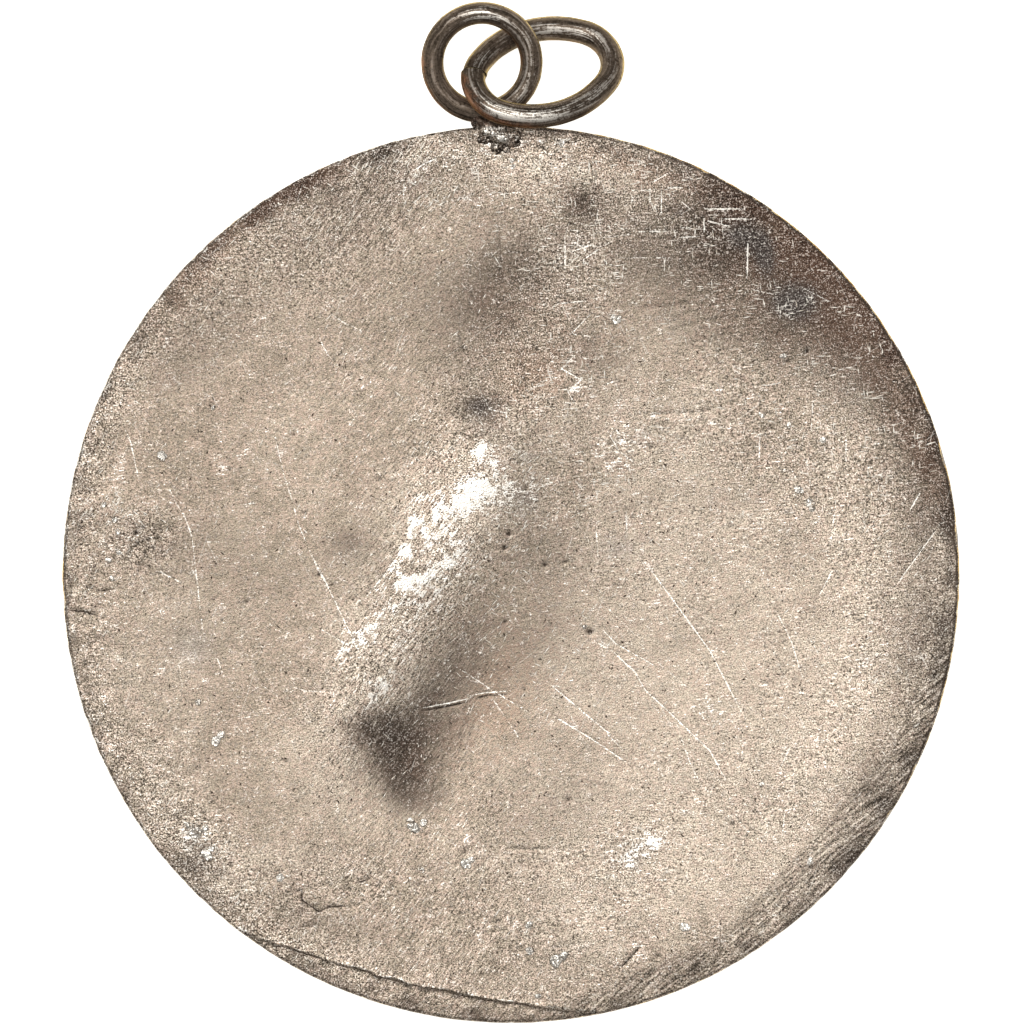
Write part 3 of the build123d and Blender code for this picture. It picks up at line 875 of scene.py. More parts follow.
class Finish:
    """The nodes of a material, or of the world, under construction."""

    def __init__(self, owner):
        self.owner = owner
        owner.use_nodes = True
        self.tree = owner.node_tree
        self.tree.nodes.clear()
        self.place = self.node("ShaderNodeTexCoord", output="Object")

    def node(self, kind, settings=None, values=None, output=0):
        """Adds a node, sets it up, fills or links its sockets, and gives one output."""
        node = self.tree.nodes.new(kind)
        for key, value in (settings or {}).items():
            setattr(node, key, value)
        for key, value in (values or {}).items():
            if isinstance(value, Signal):
                self.tree.links.new(value.socket, node.inputs[key])
            else:
                node.inputs[key].default_value = value
        return Signal(self, node.outputs[output]) if len(node.outputs) else node

    def mark(self, name):
        """The number that the mesh keeps under a name."""
        return self.node("ShaderNodeAttribute", {"attribute_name": name}, output="Fac")

    def noise(self, size, detail, roughness, place=None):
        """Smooth random values about 0.5, with features about one size wide, in millimetres."""
        return self.node("ShaderNodeTexNoise", {}, {
            "Vector": place or self.place, "Scale": 1 / (size * MM), "Detail": detail,
            "Roughness": roughness})

    def moved(self, place, offset):
        """Coordinates that are moved, so that a second noise doesn't follow the first."""
        return self.node("ShaderNodeMapping", {}, {"Vector": place, "Location": offset})

    def scaled(self, place, scale):
        """Coordinates that are stretched where the scale is below 1."""
        return self.node("ShaderNodeMapping", {}, {"Vector": place, "Scale": scale})

    def drawn_out(self, heading, stretch, place=None):
        """Coordinates that are stretched along a heading in the plan."""
        turned = self.node("ShaderNodeMapping", {}, {
            "Vector": place or self.place, "Rotation": (0, 0, -radians(heading))})
        return self.scaled(turned, (1 / stretch, 1, 1))

    def rise(self, value, low, high):
        """0 below low, 1 above high, and a smooth rise between. Low may be the larger one."""
        return self.node("ShaderNodeMapRange", {"interpolation_type": "SMOOTHSTEP"}, {
            "Value": value, "From Min": low, "From Max": high}, "Result")

    def mix(self, amount, first, second, blend="MIX"):
        """The first colour, with the second over it by an amount from 0 to 1."""
        return self.node("ShaderNodeMix", {"data_type": "RGBA", "blend_type": blend}, {
            0: amount, 6: opaque(first), 7: opaque(second)}, 2)

    def grooved(self, height, depth):
        """A bump from a height, with its depth in millimetres."""
        return self.node("ShaderNodeBump", {}, {"Height": height, "Distance": depth * MM, "Strength": 1.0})

    def surface(self, **values):
        """Ends the material in one metal surface. Names of sockets have _ for a space."""
        shader = self.node("ShaderNodeBsdfPrincipled", {}, {
            key.replace("_", " "): value for key, value in values.items()})
        self.node("ShaderNodeOutputMaterial", {}, {"Surface": shader})
        return self.owner


def worn_silver(colours, name="worn_silver"):
    """Hand-finished silver with tarnish, scratches, a fine grain and painted glints, and the painted light
    and shade that its marks carry.
    """
    f = Finish(bpy.data.materials.new(name))
    elsewhere = f.moved(f.place, (0.7, 0.3, 0.5))
    fine = f.noise(0.070, 1.0, 0.6)
    other = f.noise(0.120, 1.0, 0.6, elsewhere)
    flake = f.noise(0.40, 3.0, 0.65)
    mottle = f.noise(1.0, 3.0, 0.6, elsewhere)
    blotch = f.noise(2.6, 3.0, 0.6)
    haze = f.noise(7.0, 2.0, 0.55, elsewhere)
    level_grain = f.noise(0.088, 1.0, 0.6, f.drawn_out(4, 5))
    slant_grain = f.noise(0.088, 1.0, 0.6, f.drawn_out(52, 5))
    filed_grain = f.noise(0.12, 1.0, 0.5, f.drawn_out(41, 10))
    slanting = f.mark("slanting")
    filed = f.mark("filed")
    rubbed = f.mark("rubbed")
    crust = f.mark("crust")
    keen = f.mark("keen")
    burnish_and_highlight = f.mark("burnish_and_highlight")
    grit = fine.swing * 0.8 + other.swing * 0.6

    # How far each stain has gone, broken up by the clouds in the metal. The tarnish mark also carries
    # painted shade, and the worn and burnish marks painted highlights
    tarnish = f.mark("tarnish") + blotch.swing * 0.5 + mottle.swing * 0.3 + flake.swing * 0.3 + grit * 0.5
    tarnish = f.rise(tarnish, 0.10, 0.98)
    worn = f.rise(f.mark("worn") + blotch.swing * 0.9 + haze.swing * 0.5 + grit * 0.4, 0.0, 0.95)
    copper = f.rise(f.mark("copper") + mottle.swing * 0.6 + grit * 1.5, 0.15, 0.95)
    ash = f.rise(f.mark("ash") + mottle.swing * 0.5 + grit * 0.9, 0.2, 0.85)
    rosy = f.rise(other.swing + mottle.swing * 0.5, -0.10, 0.16)
    cool = f.rise(f.noise(0.17, 2.0, 0.7, elsewhere) + flake.swing * 0.3, 0.50, 0.66)

    # Silver between the stains, then the stains, then the sulphide film
    colour = f.mix(worn, colours.silver, colours.pale_silver)
    colour = f.mix(rosy * 0.75, colour, colours.rosy_silver)
    colour = f.mix(cool * 0.28, colour, colours.ash_bloom)
    colour = f.mix(copper * 0.7, colour, colours.copper_stain)
    colour = f.mix(ash * 0.45, colour, colours.ash_bloom)
    film = f.mix(copper * 0.7, colours.tarnish, colours.red_film)
    film = f.mix(ash * 0.7, film, colours.slate)
    colour = f.mix(tarnish * 0.95, colour, film)

    # Grain: bare metal on its ridges, film in its furrows
    level = 1 - slanting
    grain = fine.swing * 2.75 + other.swing * 0.9 + level_grain.swing * level * (0.75 - crust * 0.7)
    grain = grain + slant_grain.swing * slanting * 1.3 + filed_grain.swing * filed * 1.6
    light = f.rise(grain, 0.10, 0.52) * (tarnish * 0.13 + keen * (0.36 - tarnish * 0.26))
    colour = f.mix(light, colour, colours.bare_silver)
    sunk = f.rise(grain, -0.14, -0.50) * (tarnish * 0.12 + keen * 0.62)
    colour = f.mix(sunk, colour, film)

    # Lighter and darker clouds
    clouds = flake.swing * (0.35 + crust * 1.1) + mottle.swing * 0.4 + blotch.swing * 0.3
    brightness = 1 + grain * (0.72 + keen + crust * 0.3) + clouds + haze.swing * 0.3
    colour = f.mix(1.0, colour, brightness.at_least(0.22), "MULTIPLY")

    # Dark specks, and bright ones that are drawn out with the grain: painted glints of the grain's facets
    dark = other.swing * 0.7 + fine.swing * 0.3 + flake.swing * 0.3 - crust * 0.05
    dark_specks = f.rise(dark - rubbed * 0.02, -0.15, -0.21) * (0.5 + crust * 0.4)
    colour = f.mix(dark_specks, colour, colours.tarnish)
    streak = level_grain.swing * level + slant_grain.swing * slanting
    bright = streak * (0.5 - burnish_and_highlight * 0.45) + fine.swing * 0.35 + flake.swing * 0.25 + mottle.swing * 0.25
    bright = bright + flake.swing * burnish_and_highlight * 0.55 + other.swing * crust * 0.3
    bright = bright + rubbed * 0.012 + keen * 0.018 + burnish_and_highlight * 0.24 + crust * 0.020
    glint_specks = f.rise(bright - tarnish * 0.075, 0.120, 0.175)
    speck_film = (copper * 0.5 + tarnish * 0.5) * (1 - rubbed)
    speck = f.mix(speck_film, colours.bare_silver, colours.rosy_silver)
    colour = f.mix(glint_specks * 0.85, colour, speck)

    # Cracks with painted shadows, the lip's painted gold reflection and glints, scratches and hairlines
    crack_and_shadow = f.rise(f.mark("crack_and_shadow") + flake.swing * 0.8, 0.15, 0.75)
    colour = f.mix(crack_and_shadow * 0.85, colour, colours.tarnish)
    edge = f.rise(f.mark("edge") + flake.swing * 1.1 + grit * 0.9, 0.30, 0.70)
    gold_sheen = f.mix(f.rise(fine + flake, 0.96, 1.16), colours.gold_edge_sheen, colours.gold_glint)
    colour = f.mix(edge, colour, gold_sheen)
    scratch = f.rise(f.mark("scratch") + (flake.swing * 1.6 + grit * 1.6), 0.22, 0.80)
    colour = f.mix(scratch * 0.8, colour, colours.bare_silver)
    for heading, shift in ((36, 1.0), (116, 2.0), (72, 3.0)):
        shifted = f.moved(elsewhere, (shift, 0.0, shift))
        hair = f.noise(0.075, 0.0, 0.5, f.drawn_out(heading, 45, shifted)) + mottle.swing * 0.3 + grit * 0.2
        colour = f.mix(f.rise(hair, 0.80, 0.86) * 0.25, colour, colours.bare_silver)

    roughness = 0.42 + tarnish * 0.10 - glint_specks * 0.10 - scratch * 0.1 + fine.swing * 0.25
    height = fine * 0.9 + other * 0.6 + slant_grain * slanting * 0.7 + flake * (0.8 + crust * 2.2)
    return f.surface(Base_Color=colour, Metallic=0.9, Roughness=roughness, Normal=f.grooved(height, 0.019))


def dark_wire(colours, name):
    """Drawn wire with lengthwise lines, darkly oxidised, with a painted highlight and rubbing along its back
    and a painted gold reflection at its sides.
    """
    f = Finish(bpy.data.materials.new(name))
    line = f.node("ShaderNodeAttribute", {"attribute_name": "drawn"}, output="Vector")
    hairs = f.noise(0.10, 2.0, 0.6, f.scaled(line, (0.05, 1, 1)))
    streaks = f.noise(0.24, 3.0, 0.6, f.scaled(line, (0.12, 1, 1)))
    fine = f.noise(0.13, 2.0, 0.65)
    flake = f.noise(0.33, 3.0, 0.6)
    blotch = f.noise(1.3, 3.0, 0.5)
    # A painted highlight along the top of the wire, where it faces the lamp, partly where it is rubbed
    highlight_and_rub = f.mark("highlight_and_rub")
    back = f.rise(f.mark("top"), 0.66, 0.98) * highlight_and_rub

    # Painted gold reflection and red oxide on the sides
    red = f.rise(f.mark("copper") + flake.swing + fine.swing * 0.6, 0.30, 0.95)
    gold = f.rise(f.mark("gold_sheen") + flake.swing * 0.5 + fine.swing * 0.4, 0.20, 0.80)
    colour = f.mix(gold * 0.9, colours.wire_brown, colours.olive_gold_sheen)
    colour = f.mix(red * 0.9, colour, colours.wire_red)
    brightness = 1 + hairs.swing * 2.8 + streaks.swing * 1.8 + fine.swing * 1.8 + blotch.swing * 0.6
    colour = f.mix(1.0, colour, brightness.at_least(0.2), "MULTIPLY")

    # Rubbed lines, which gather into a painted highlight along the back, and dark pits
    rubbed = f.rise(back * 0.25 + hairs.swing * 2.2 + streaks.swing * 0.9 + fine.swing * 0.9, 0.12, 0.40)
    colour = f.mix(rubbed * (0.06 + back * 0.80), colour, colours.bare_silver)
    pitted = f.rise(flake.swing + fine.swing * 0.9, -0.14, -0.24)
    colour = f.mix(pitted * 0.8, colour, colours.tarnish)

    roughness = 0.54 - highlight_and_rub * 0.26 + flake.swing * 0.25 + fine.swing * 0.2 + pitted * 0.25
    height = hairs * 1.2 + streaks * 1.2 + fine * 0.6 + flake * 0.6
    return f.surface(
        Base_Color=colour, Metallic=0.72, Roughness=roughness, Specular_Tint=(0.85, 0.68, 0.40, 1.0),
        Normal=f.grooved(height, 0.016))


def bright_mark(colours):
    """Fresh silver in the fine marks that rubbing left."""
    f = Finish(bpy.data.materials.new("bright_rub"))
    flake = f.noise(0.2, 2.0, 0.6)
    colour = f.mix(f.rise(flake, 0.30, 0.60), colours.pale_silver, colours.bare_silver)
    return f.surface(Base_Color=colour, Metallic=0.9, Roughness=0.55, Normal=f.grooved(flake, 0.002))


def dark_mark(colours):
    """Sulphide left in small cuts."""
    f = Finish(bpy.data.materials.new("dark_fleck"))
    flake = f.noise(0.2, 2.0, 0.6)
    colour = f.mix(f.rise(flake, 0.35, 0.65), colours.tarnish, colours.wire_brown)
    return f.surface(Base_Color=colour, Metallic=0.95, Roughness=0.6, Normal=f.grooved(flake, 0.01))


# Geometry Nodes

class Tree:
    """A Geometry Nodes tree under construction, with named inputs."""

    def __init__(self, name):
        self.group = bpy.data.node_groups.new(name, "GeometryNodeTree")
        self.group.interface.new_socket("Geometry", in_out="INPUT", socket_type="NodeSocketGeometry")
        self.group.interface.new_socket("Geometry", in_out="OUTPUT", socket_type="NodeSocketGeometry")
        self.inputs = self.group.nodes.new("NodeGroupInput")
        self.outputs = self.group.nodes.new("NodeGroupOutput")
        self.carrier = self.inputs.outputs["Geometry"]

    def input(self, name, kind, default=None):
        """Adds a named input and gives its socket."""
        item = self.group.interface.new_socket(name, in_out="INPUT", socket_type="NodeSocket" + kind)
        if default is not None:
            item.default_value = default
        return self.inputs.outputs[name]

    def node(self, kind, settings=None, values=None):
        """Adds a node, sets it up, and fills or links its sockets. A node stands for its first output."""
        node = self.group.nodes.new(kind)
        for key, value in (settings or {}).items():
            setattr(node, key, value)
        for key, value in (values or {}).items():
            if isinstance(value, bpy.types.Node):
                value = value.outputs[0]
            if isinstance(value, bpy.types.NodeSocket):
                self.group.links.new(value, node.inputs[key])
            else:
                node.inputs[key].default_value = value
        return node

    def maths(self, operation, first, second=0.0):
        """One Math node on two sockets or numbers."""
        return self.node("ShaderNodeMath", {"operation": operation}, {0: first, 1: second})

    def scaled(self, vector, amount):
        """A vector, made longer or shorter."""
        return self.node("ShaderNodeVectorMath", {"operation": "SCALE"}, {0: vector, "Scale": amount})

    def carried(self, name):
        """The number that the carrier keeps under a name."""
        return self.node("GeometryNodeInputNamedAttribute", {"data_type": "FLOAT"}, {"Name": name})

    def captured(self, geometry, name, output):
        """Keeps how far along its spline each point of a curve lies."""
        share = self.node("GeometryNodeSplineParameter")
        kept = self.node("GeometryNodeCaptureAttribute", {}, {"Geometry": geometry})
        kept.capture_items.new("FLOAT", name)
        self.group.links.new(share.outputs[output], kept.inputs[name])
        return kept

    def pushed_out(self, geometry, amount):
        """Moves each point of a surface along its normal, and shades the surface smooth."""
        offset = self.scaled(self.node("GeometryNodeInputNormal"), amount)
        moved = self.node("GeometryNodeSetPosition", {}, {"Geometry": geometry, "Offset": offset})
        return self.node("GeometryNodeSetShadeSmooth", {}, {"Geometry": moved})

    def end(self, geometry, finish):
        """Ends the tree in Realize Instances and Set Material."""
        real = self.node("GeometryNodeRealizeInstances", {}, {"Geometry": geometry})
        painted = self.node("GeometryNodeSetMaterial", {}, {"Geometry": real, "Material": finish})
        self.group.links.new(painted.outputs[0], self.outputs.inputs[0])
        return self.group


def wire_tree():
    """Sweeps a round wire along a path, with small dents, and keeps its drawn direction."""
    tree = Tree("Round wire")
    radius = tree.input("Wire radius", "Float", 0.0006)
    steps = tree.input("Steps around", "Int", 40)
    dent = tree.input("Dent depth", "Float", 0.00002)
    dent_size = tree.input("Dent size", "Float", 0.0008)
    finish = tree.input("Finish", "Material")
    path = tree.node("GeometryNodeMeshToCurve", {}, {"Mesh": tree.carrier})
    line = tree.captured(path, "Along", "Length")
    circle = tree.node("GeometryNodeCurvePrimitiveCircle", {}, {"Resolution": steps, "Radius": radius})
    section = tree.captured(circle, "Round", "Factor")
    tube = tree.node("GeometryNodeCurveToMesh", {}, {
        "Curve": line, "Profile Curve": section, "Fill Caps": True})
    turn = tree.maths("MULTIPLY", section.outputs["Round"], 2 * pi)
    drawn = tree.node("ShaderNodeCombineXYZ", {}, {
        "X": line.outputs["Along"],
        "Y": tree.maths("MULTIPLY", tree.maths("COSINE", turn), radius),
        "Z": tree.maths("MULTIPLY", tree.maths("SINE", turn), radius)})
    named = tree.node("GeometryNodeStoreNamedAttribute", {"data_type": "FLOAT_VECTOR", "domain": "POINT"}, {
        "Geometry": tube, "Name": "drawn", "Value": drawn})
    wobble = tree.node("ShaderNodeTexNoise", {}, {
        "Scale": tree.maths("DIVIDE", 1.0, dent_size), "Detail": 2.0})
    depth = tree.maths("MULTIPLY", tree.maths("MULTIPLY", wobble, dent), -1.0)
    return tree.end(tree.pushed_out(named, depth), finish)


def nodule_tree():
    """Sets a rough lump of metal on every point, each turned and dented in its own way."""
    tree = Tree("Casting nodules")
    seed = tree.input("Seed", "Int", 4)
    roughness = tree.input("Roughness", "Float", 0.9)
    grain = tree.input("Grain", "Float", 5200.0)
    finish = tree.input("Finish", "Material")
    lump = tree.node("GeometryNodeMeshIcoSphere", {}, {"Radius": 1.0, "Subdivisions": 4})
    reach = tree.carried("reach")
    flat = tree.node("FunctionNodeRandomValue", {"data_type": "FLOAT_VECTOR"}, {
        "Min": (0.65, 0.55, 0.11), "Max": (1.15, 0.95, 0.20), "Seed": seed})
    turn = tree.node("FunctionNodeRandomValue", {"data_type": "FLOAT_VECTOR"}, {
        "Min": (-0.2, -0.2, 0.0), "Max": (0.2, 0.2, 6.28), "Seed": seed})
    placed = tree.node("GeometryNodeInstanceOnPoints", {}, {
        "Points": tree.carrier, "Instance": lump, "Rotation": turn, "Scale": tree.scaled(flat, reach)})
    real = tree.node("GeometryNodeRealizeInstances", {}, {"Geometry": placed})
    wobble = tree.node("ShaderNodeTexNoise", {}, {"Scale": grain, "Detail": 2.0, "Roughness": 0.6})
    bulge = tree.maths("MULTIPLY", tree.maths("SUBTRACT", wobble, 0.5), roughness)
    return tree.end(tree.pushed_out(real, tree.maths("MULTIPLY", bulge, reach)), finish)


def stroke_tree():
    """Scatters fine slivers over a surface, as thickly and along the heading that it is marked with."""
    tree = Tree("Fine strokes")
    weight_name = tree.input("Weight", "String", "rubs")
    density = tree.input("Density", "Float", 1000000.0)
    seed = tree.input("Seed", "Int", 5)
    shortest = tree.input("Shortest", "Float", 0.0002)
    longest = tree.input("Longest", "Float", 0.0006)
    narrowest = tree.input("Narrowest", "Float", 0.00002)
    widest = tree.input("Widest", "Float", 0.00004)
    spread = tree.input("Spread", "Float", 0.3)
    crossed = tree.input("Crossed", "Float", 0.3)
    lift = tree.input("Lift", "Float", 0.000004)
    finish = tree.input("Finish", "Material")

    def chance(low, high, draw):
        """A random number for each sliver. Each draw has its own seed."""
        drawn = tree.node("FunctionNodeRandomValue", {"data_type": "FLOAT"}, {
            2: low, 3: high, "Seed": tree.maths("ADD", seed, draw)})
        return drawn.outputs[1]

    points = tree.node("GeometryNodeDistributePointsOnFaces", {}, {
        "Mesh": tree.carrier, "Seed": seed,
        "Density": tree.maths("MULTIPLY", tree.carried(weight_name), density)})
    across = tree.maths("LESS_THAN", chance(0.0, 1.0, 1), crossed)
    angle = tree.maths("ADD", tree.carried("heading"), tree.maths("MULTIPLY", across, pi / 2))
    angle = tree.maths("ADD", angle, tree.maths("MULTIPLY", chance(-1.0, 1.0, 2), spread))
    turn = tree.node("FunctionNodeAxisAngleToRotation", {}, {"Axis": (0, 0, 1), "Angle": angle})
    laid = tree.node("FunctionNodeAlignRotationToVector", {"axis": "Z"}, {
        "Rotation": turn, "Vector": points.outputs["Normal"]})
    width = chance(narrowest, widest, 4)
    size = tree.node("ShaderNodeCombineXYZ", {}, {
        "X": chance(shortest, longest, 3), "Y": width, "Z": tree.maths("MULTIPLY", width, 0.02)})
    sliver = tree.node("GeometryNodeMeshUVSphere", {}, {"Segments": 4, "Rings": 2, "Radius": 0.5})
    placed = tree.node("GeometryNodeInstanceOnPoints", {}, {
        "Points": points, "Instance": sliver, "Rotation": laid, "Scale": size})
    offset = tree.node("ShaderNodeCombineXYZ", {}, {"Z": lift})
    lifted = tree.node("GeometryNodeTranslateInstances", {}, {
        "Instances": placed, "Translation": offset, "Local Space": False})
    return tree.end(lifted, finish)


def grown(carrier, group, **inputs):
    """Runs a tree on a carrier and leaves the plain mesh that comes of it. Names have _ for a space."""
    modifier = carrier.modifiers.new(group.name, "NODES")
    modifier.node_group = group
    for key, value in inputs.items():
        item = group.interface.items_tree[key.replace("_", " ")]
        modifier[item.identifier] = value
    return made_plain(carrier)


def carrier_of(name, points, edges=()):
    """A path or a set of points in millimetres, for a tree to build on."""
    mesh = bpy.data.meshes.new(name)
    mesh.from_pydata([tuple(c * MM for c in point) for point in points], edges, [])
    return linked(name, mesh)


# Wires

def loop_point(angle):
    """A point of the loop's middle line."""
    rise = LOOP_RADIUS * sin(radians(angle))
    side = LOOP_RADIUS * cos(radians(angle))
    return LOOP_CENTRE + Vector((side, rise * cos(LOOP_TILT), rise * sin(LOOP_TILT)))


def oval_point(angle):
    """A point of the jump ring's middle line, by the angle of its outward direction."""
    a = RING_HALF_LENGTH
    b = RING_HALF_WIDTH
    r = RING_END_RADIUS
    side_radius = (a * a - 2 * a * r + b * b) / (2 * (b - r))
    end_centre = a - r
    side_centre = side_radius - b
    corner = atan2(side_centre, end_centre)
    c = cos(radians(angle))
    s = sin(radians(angle))
    if abs(c) > cos(corner):
        x = copysign(end_centre, c) + r * c
        y = r * s
    else:
        x = side_radius * c
        y = side_radius * s - copysign(side_centre, s)
    return RING_CENTRE + RING_ALONG * x + RING_FACE.cross(RING_ALONG) * y


def drawn_wire(name, points, closed, diameter, finish):
    """A round dented wire along a path."""
    edges = [(i, i + 1) for i in range(len(points) - 1)]
    if closed:
        edges.append((len(points) - 1, 0))
    piece = carrier_of(name, points, edges)
    grown(piece, wire_tree(), Wire_radius=diameter / 2, Steps_around=WIRE_STEPS, Dent_depth=WIRE_DENT,
          Finish=finish)
    return piece


def painted_wire(mesh, stains, highlight_spots, least_highlight):
    """Keeps where a wire has its painted highlight along its back, its painted gold reflection at its sides,
    and its red-brown stain, which also runs along its lower left sides.
    """
    x, y, _ = places_of(mesh)
    normals = np.empty(len(mesh.vertices) * 3, np.float32)
    mesh.vertices.foreach_get("normal", normals)
    across, up, high = normals.reshape(-1, 3).T
    # The painted highlight follows the listed spots, and the painted gold reflection lies on the sides that
    # face up and to the right
    highlight_and_rub = least_highlight + near(highlight_spots, x, y)
    beside = 1 - eased(high, 0.38, 0.80)
    rim = (1 - eased(high, 0.22, 0.62)) * (0.25 + 0.75 * eased(high, 0.10, 0.34))
    low_side = beside * eased(-0.6 * up - 0.6 * across, 0.1, 0.7)
    marked(mesh, "top", np.clip(high, 0, 1))
    marked(mesh, "highlight_and_rub", np.clip(highlight_and_rub, 0, 1))
    marked(mesh, "gold_sheen", rim * eased(0.75 * up + 0.45 * across, -0.45, 0.35))
    marked(mesh, "copper", np.clip(near(stains, x, y) + 0.50 * low_side, 0, 1))


# Pieces

# How strongly the beads have each finish. They are made bright all over, which paints the light
# on them as well as their wear
LIT_BURNISHED_LUMP = {"worn": 1.0, "rubbed": 1.0, "burnish_and_highlight": 0.85, "crust": 0.1, "keen": 0.1}

# Skin of the solder: the size of its voxels, how often it is smoothed, and the scale and depth of
# its lumps, its grit and its pits, in millimetres
SOLDER_VOXEL = 0.036
SOLDER_SMOOTHING = 16
SOLDER_LUMPS = (2.6, 0.040)
SOLDER_GRIT = (9.0, 0.016)
SOLDER_PITS = (4.6, 0.36)
PIT_THRESHOLD = 0.20

# Lamp and camera of the stage, in metres
SOFTBOX_PLACE = Vector((-0.16, 0.30, 0.90))
CAMERA_SHIFT = (0.000045, 0.000028)
BACK_LEVEL = 0.0022


class MEDAL_OT_body(bpy.types.Operator):
    """Build the worn medal with its hollowed back, rim and plain hidden face"""
    bl_idname = "medal.body"
    bl_label = "Medal Body"

    def execute(self, context):
        sizes = context.scene.medal_sizes
        thickness = sizes.medal_thickness / MM
        rounding = sizes.edge_round / MM
        count = sizes.rim_steps
        angles = np.arange(count) * 2 * pi / count
        places, top_faces = self.back_places(angles, MEDAL_RADIUS - rounding - BROW_SLACK, sizes.lattice / MM)
        heights = back_height(places[:, 0], places[:, 1], thickness)
        points = [np.column_stack((places, heights))]
        faces = [tuple(face) for face in top_faces]
        total = len(places)
        ring = list(range(count))
        for radius, height in self.edge_rings(angles, heights[:count], rounding):
            points.append(np.column_stack((radius * np.cos(angles), radius * np.sin(angles), height)))
            fresh = list(range(total, total + count))
            for i in range(count):
                j = (i + 1) % count
                faces.append((ring[i], fresh[i], fresh[j], ring[j]))
            total += count
            ring = fresh
        floor, floor_faces = self.hidden_floor(angles)
        corners = ring + list(range(total, total + len(floor) - count))
        faces += [tuple(corners[i] for i in reversed(face)) for face in floor_faces]
        points = np.vstack((*points, floor[count:]))

        mesh = bpy.data.meshes.new("medal_body")
        mesh.from_pydata(((points + (0, MEDAL_CENTRE_Y, 0)) * MM).tolist(), [], faces)
        mesh.update()
        piece = linked("medal_body", mesh)
        turned_outwards(mesh)
        self.paint(mesh, *points.T)
        mesh.shade_smooth()
        mesh.set_sharp_from_angle(angle=radians(50))
        mesh.materials.append(worn_silver(context.scene.medal_colours))
        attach(piece, "root")
        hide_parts("medal_disc")
        return {"FINISHED"}

    def back_places(self, angles, inner, spacing):
        """The places of the back's points, those of its brow first, and its triangles."""
        brow = np.column_stack((np.cos(angles), np.sin(angles))) * inner
        reach = inner - CREASE_INSET
        crease = [(cos(a) * reach, sin(a) * reach) for a in angles + pi / len(angles)]
        marks = [place for place in feature_places() if hypot(*place) < inner - MARKS_INSET]
        marks = apart(marks, LEAST_MARK_GAP) + crease
        field = clear_of(lattice_places(spacing, inner - 0.6 * spacing), marks, FIELD_GAP)
        return triangulated([*map(tuple, brow), *map(tuple, marks), *map(tuple, field)])

    def edge_rings(self, angles, brow_heights, rounding):
        """The radius and the height of each ring of points, from the brow to the hidden face."""
        for turn in BROW_TURNS:
            height = brow_heights - rounding * (1 - cos(radians(turn)))
            inset = rounding * (1 - sin(radians(turn)))
            yield MEDAL_RADIUS - inset - rim_inset(angles, height), height
        side_top = brow_heights - rounding
        for share in SIDE_SHARES:
            height = FOOT_ROUND + (side_top - FOOT_ROUND) * share
            yield MEDAL_RADIUS - rim_inset(angles, height), height
        for turn in FOOT_TURNS:
            height = np.full(len(angles), FOOT_ROUND * (1 - sin(radians(turn))))
            inset = FOOT_ROUND * (1 - cos(radians(turn)))
            yield MEDAL_RADIUS - inset - rim_inset(angles, height) * FOOT_WEAR, height
        for inset, level in HIDDEN_RINGS:
            yield MEDAL_RADIUS - inset, np.full(len(angles), level)

    def hidden_floor(self, angles):
        """The points of the hidden face's floor, those of its edge first, and its triangles."""
        edge = np.column_stack((np.cos(angles), np.sin(angles))) * (MEDAL_RADIUS - FLOOR_INSET)
        inside = []
        for inset, share in FLOOR_RINGS:
            reach = MEDAL_RADIUS - inset
            inside += [(reach * cos(a), reach * sin(a)) for a in angles[::share]]
        inside += map(tuple, lattice_places(FLOOR_SPACING, MEDAL_RADIUS - FLOOR_FIELD_INSET))
        places, faces = triangulated([*map(tuple, edge), *inside])
        level = FLOOR_HEIGHT + ripple(FLOOR_WAVE, places[:, 0], places[:, 1])
        level[:len(angles)] = FLOOR_HEIGHT
        return np.column_stack((places, level)), faces

    def paint(self, mesh, x, y, z):
        """Keeps where each finish lies, for the material to read."""
        radius = np.hypot(x, y)
        angle = np.arctan2(y, x)
        hidden = (z < MIDDLE_HEIGHT) & (radius < MEDAL_RADIUS - HIDDEN_INSET)
        shown = np.where(hidden, 0.0, 1.0)
        shallow = eased(z, 1.5, 2.1)
        beyond = step_reach(x, y)
        rubbed = spots(RUBBED, x, y)
        burnish_and_highlight = spots(BURNISH_AND_HIGHLIGHT, x, y)
        crust = spots(CRUST, x, y)
        keen = np.clip(spots(KEEN, x, y) + 0.30 * eased(radius, *KEEN_RING), 0, 1)

        # Worn lip along the edge, with a painted gold reflection on its warm side and a painted highlight
        # on its pale side, and the dark line behind it
        gap = MEDAL_RADIUS - rim_inset(angle, z) - radius
        warm = eased(np.cos(angle - radians(GOLD_SHEEN_HEADING)), 0.35, 0.95)
        for heading, half, strength in RIM_GOLD_SHEEN:
            turn = np.degrees(np.abs(np.angle(np.exp(1j * (angle - radians(heading))))))
            warm = np.maximum(warm, strength * np.exp(-((turn / half) ** 2)))
        lip_width = LIP_WIDTH + LIP_SPREAD * warm * (1 + cloud(x, y, 0.6, 60))
        side = eased(gap, lip_width, 0.3 * lip_width) * shallow
        brow = fading(gap, BROW_LINE_INSET, BROW_LINE_WIDTH) * np.where(z > MIDDLE_HEIGHT, 1.0, 0.0)
        edge = side * (0.42 + 0.50 * warm) * (0.72 + 0.50 * cloud(x, y, 0.5, 53))
        lip = np.maximum(side, 0.5 * brow) * eased(np.cos(angle - radians(PALE_HEADING)), -0.1, 0.7)
        lip = np.maximum(lip, side * warm * eased(cloud(x, y, 0.9, 62), 0.1, 0.7))

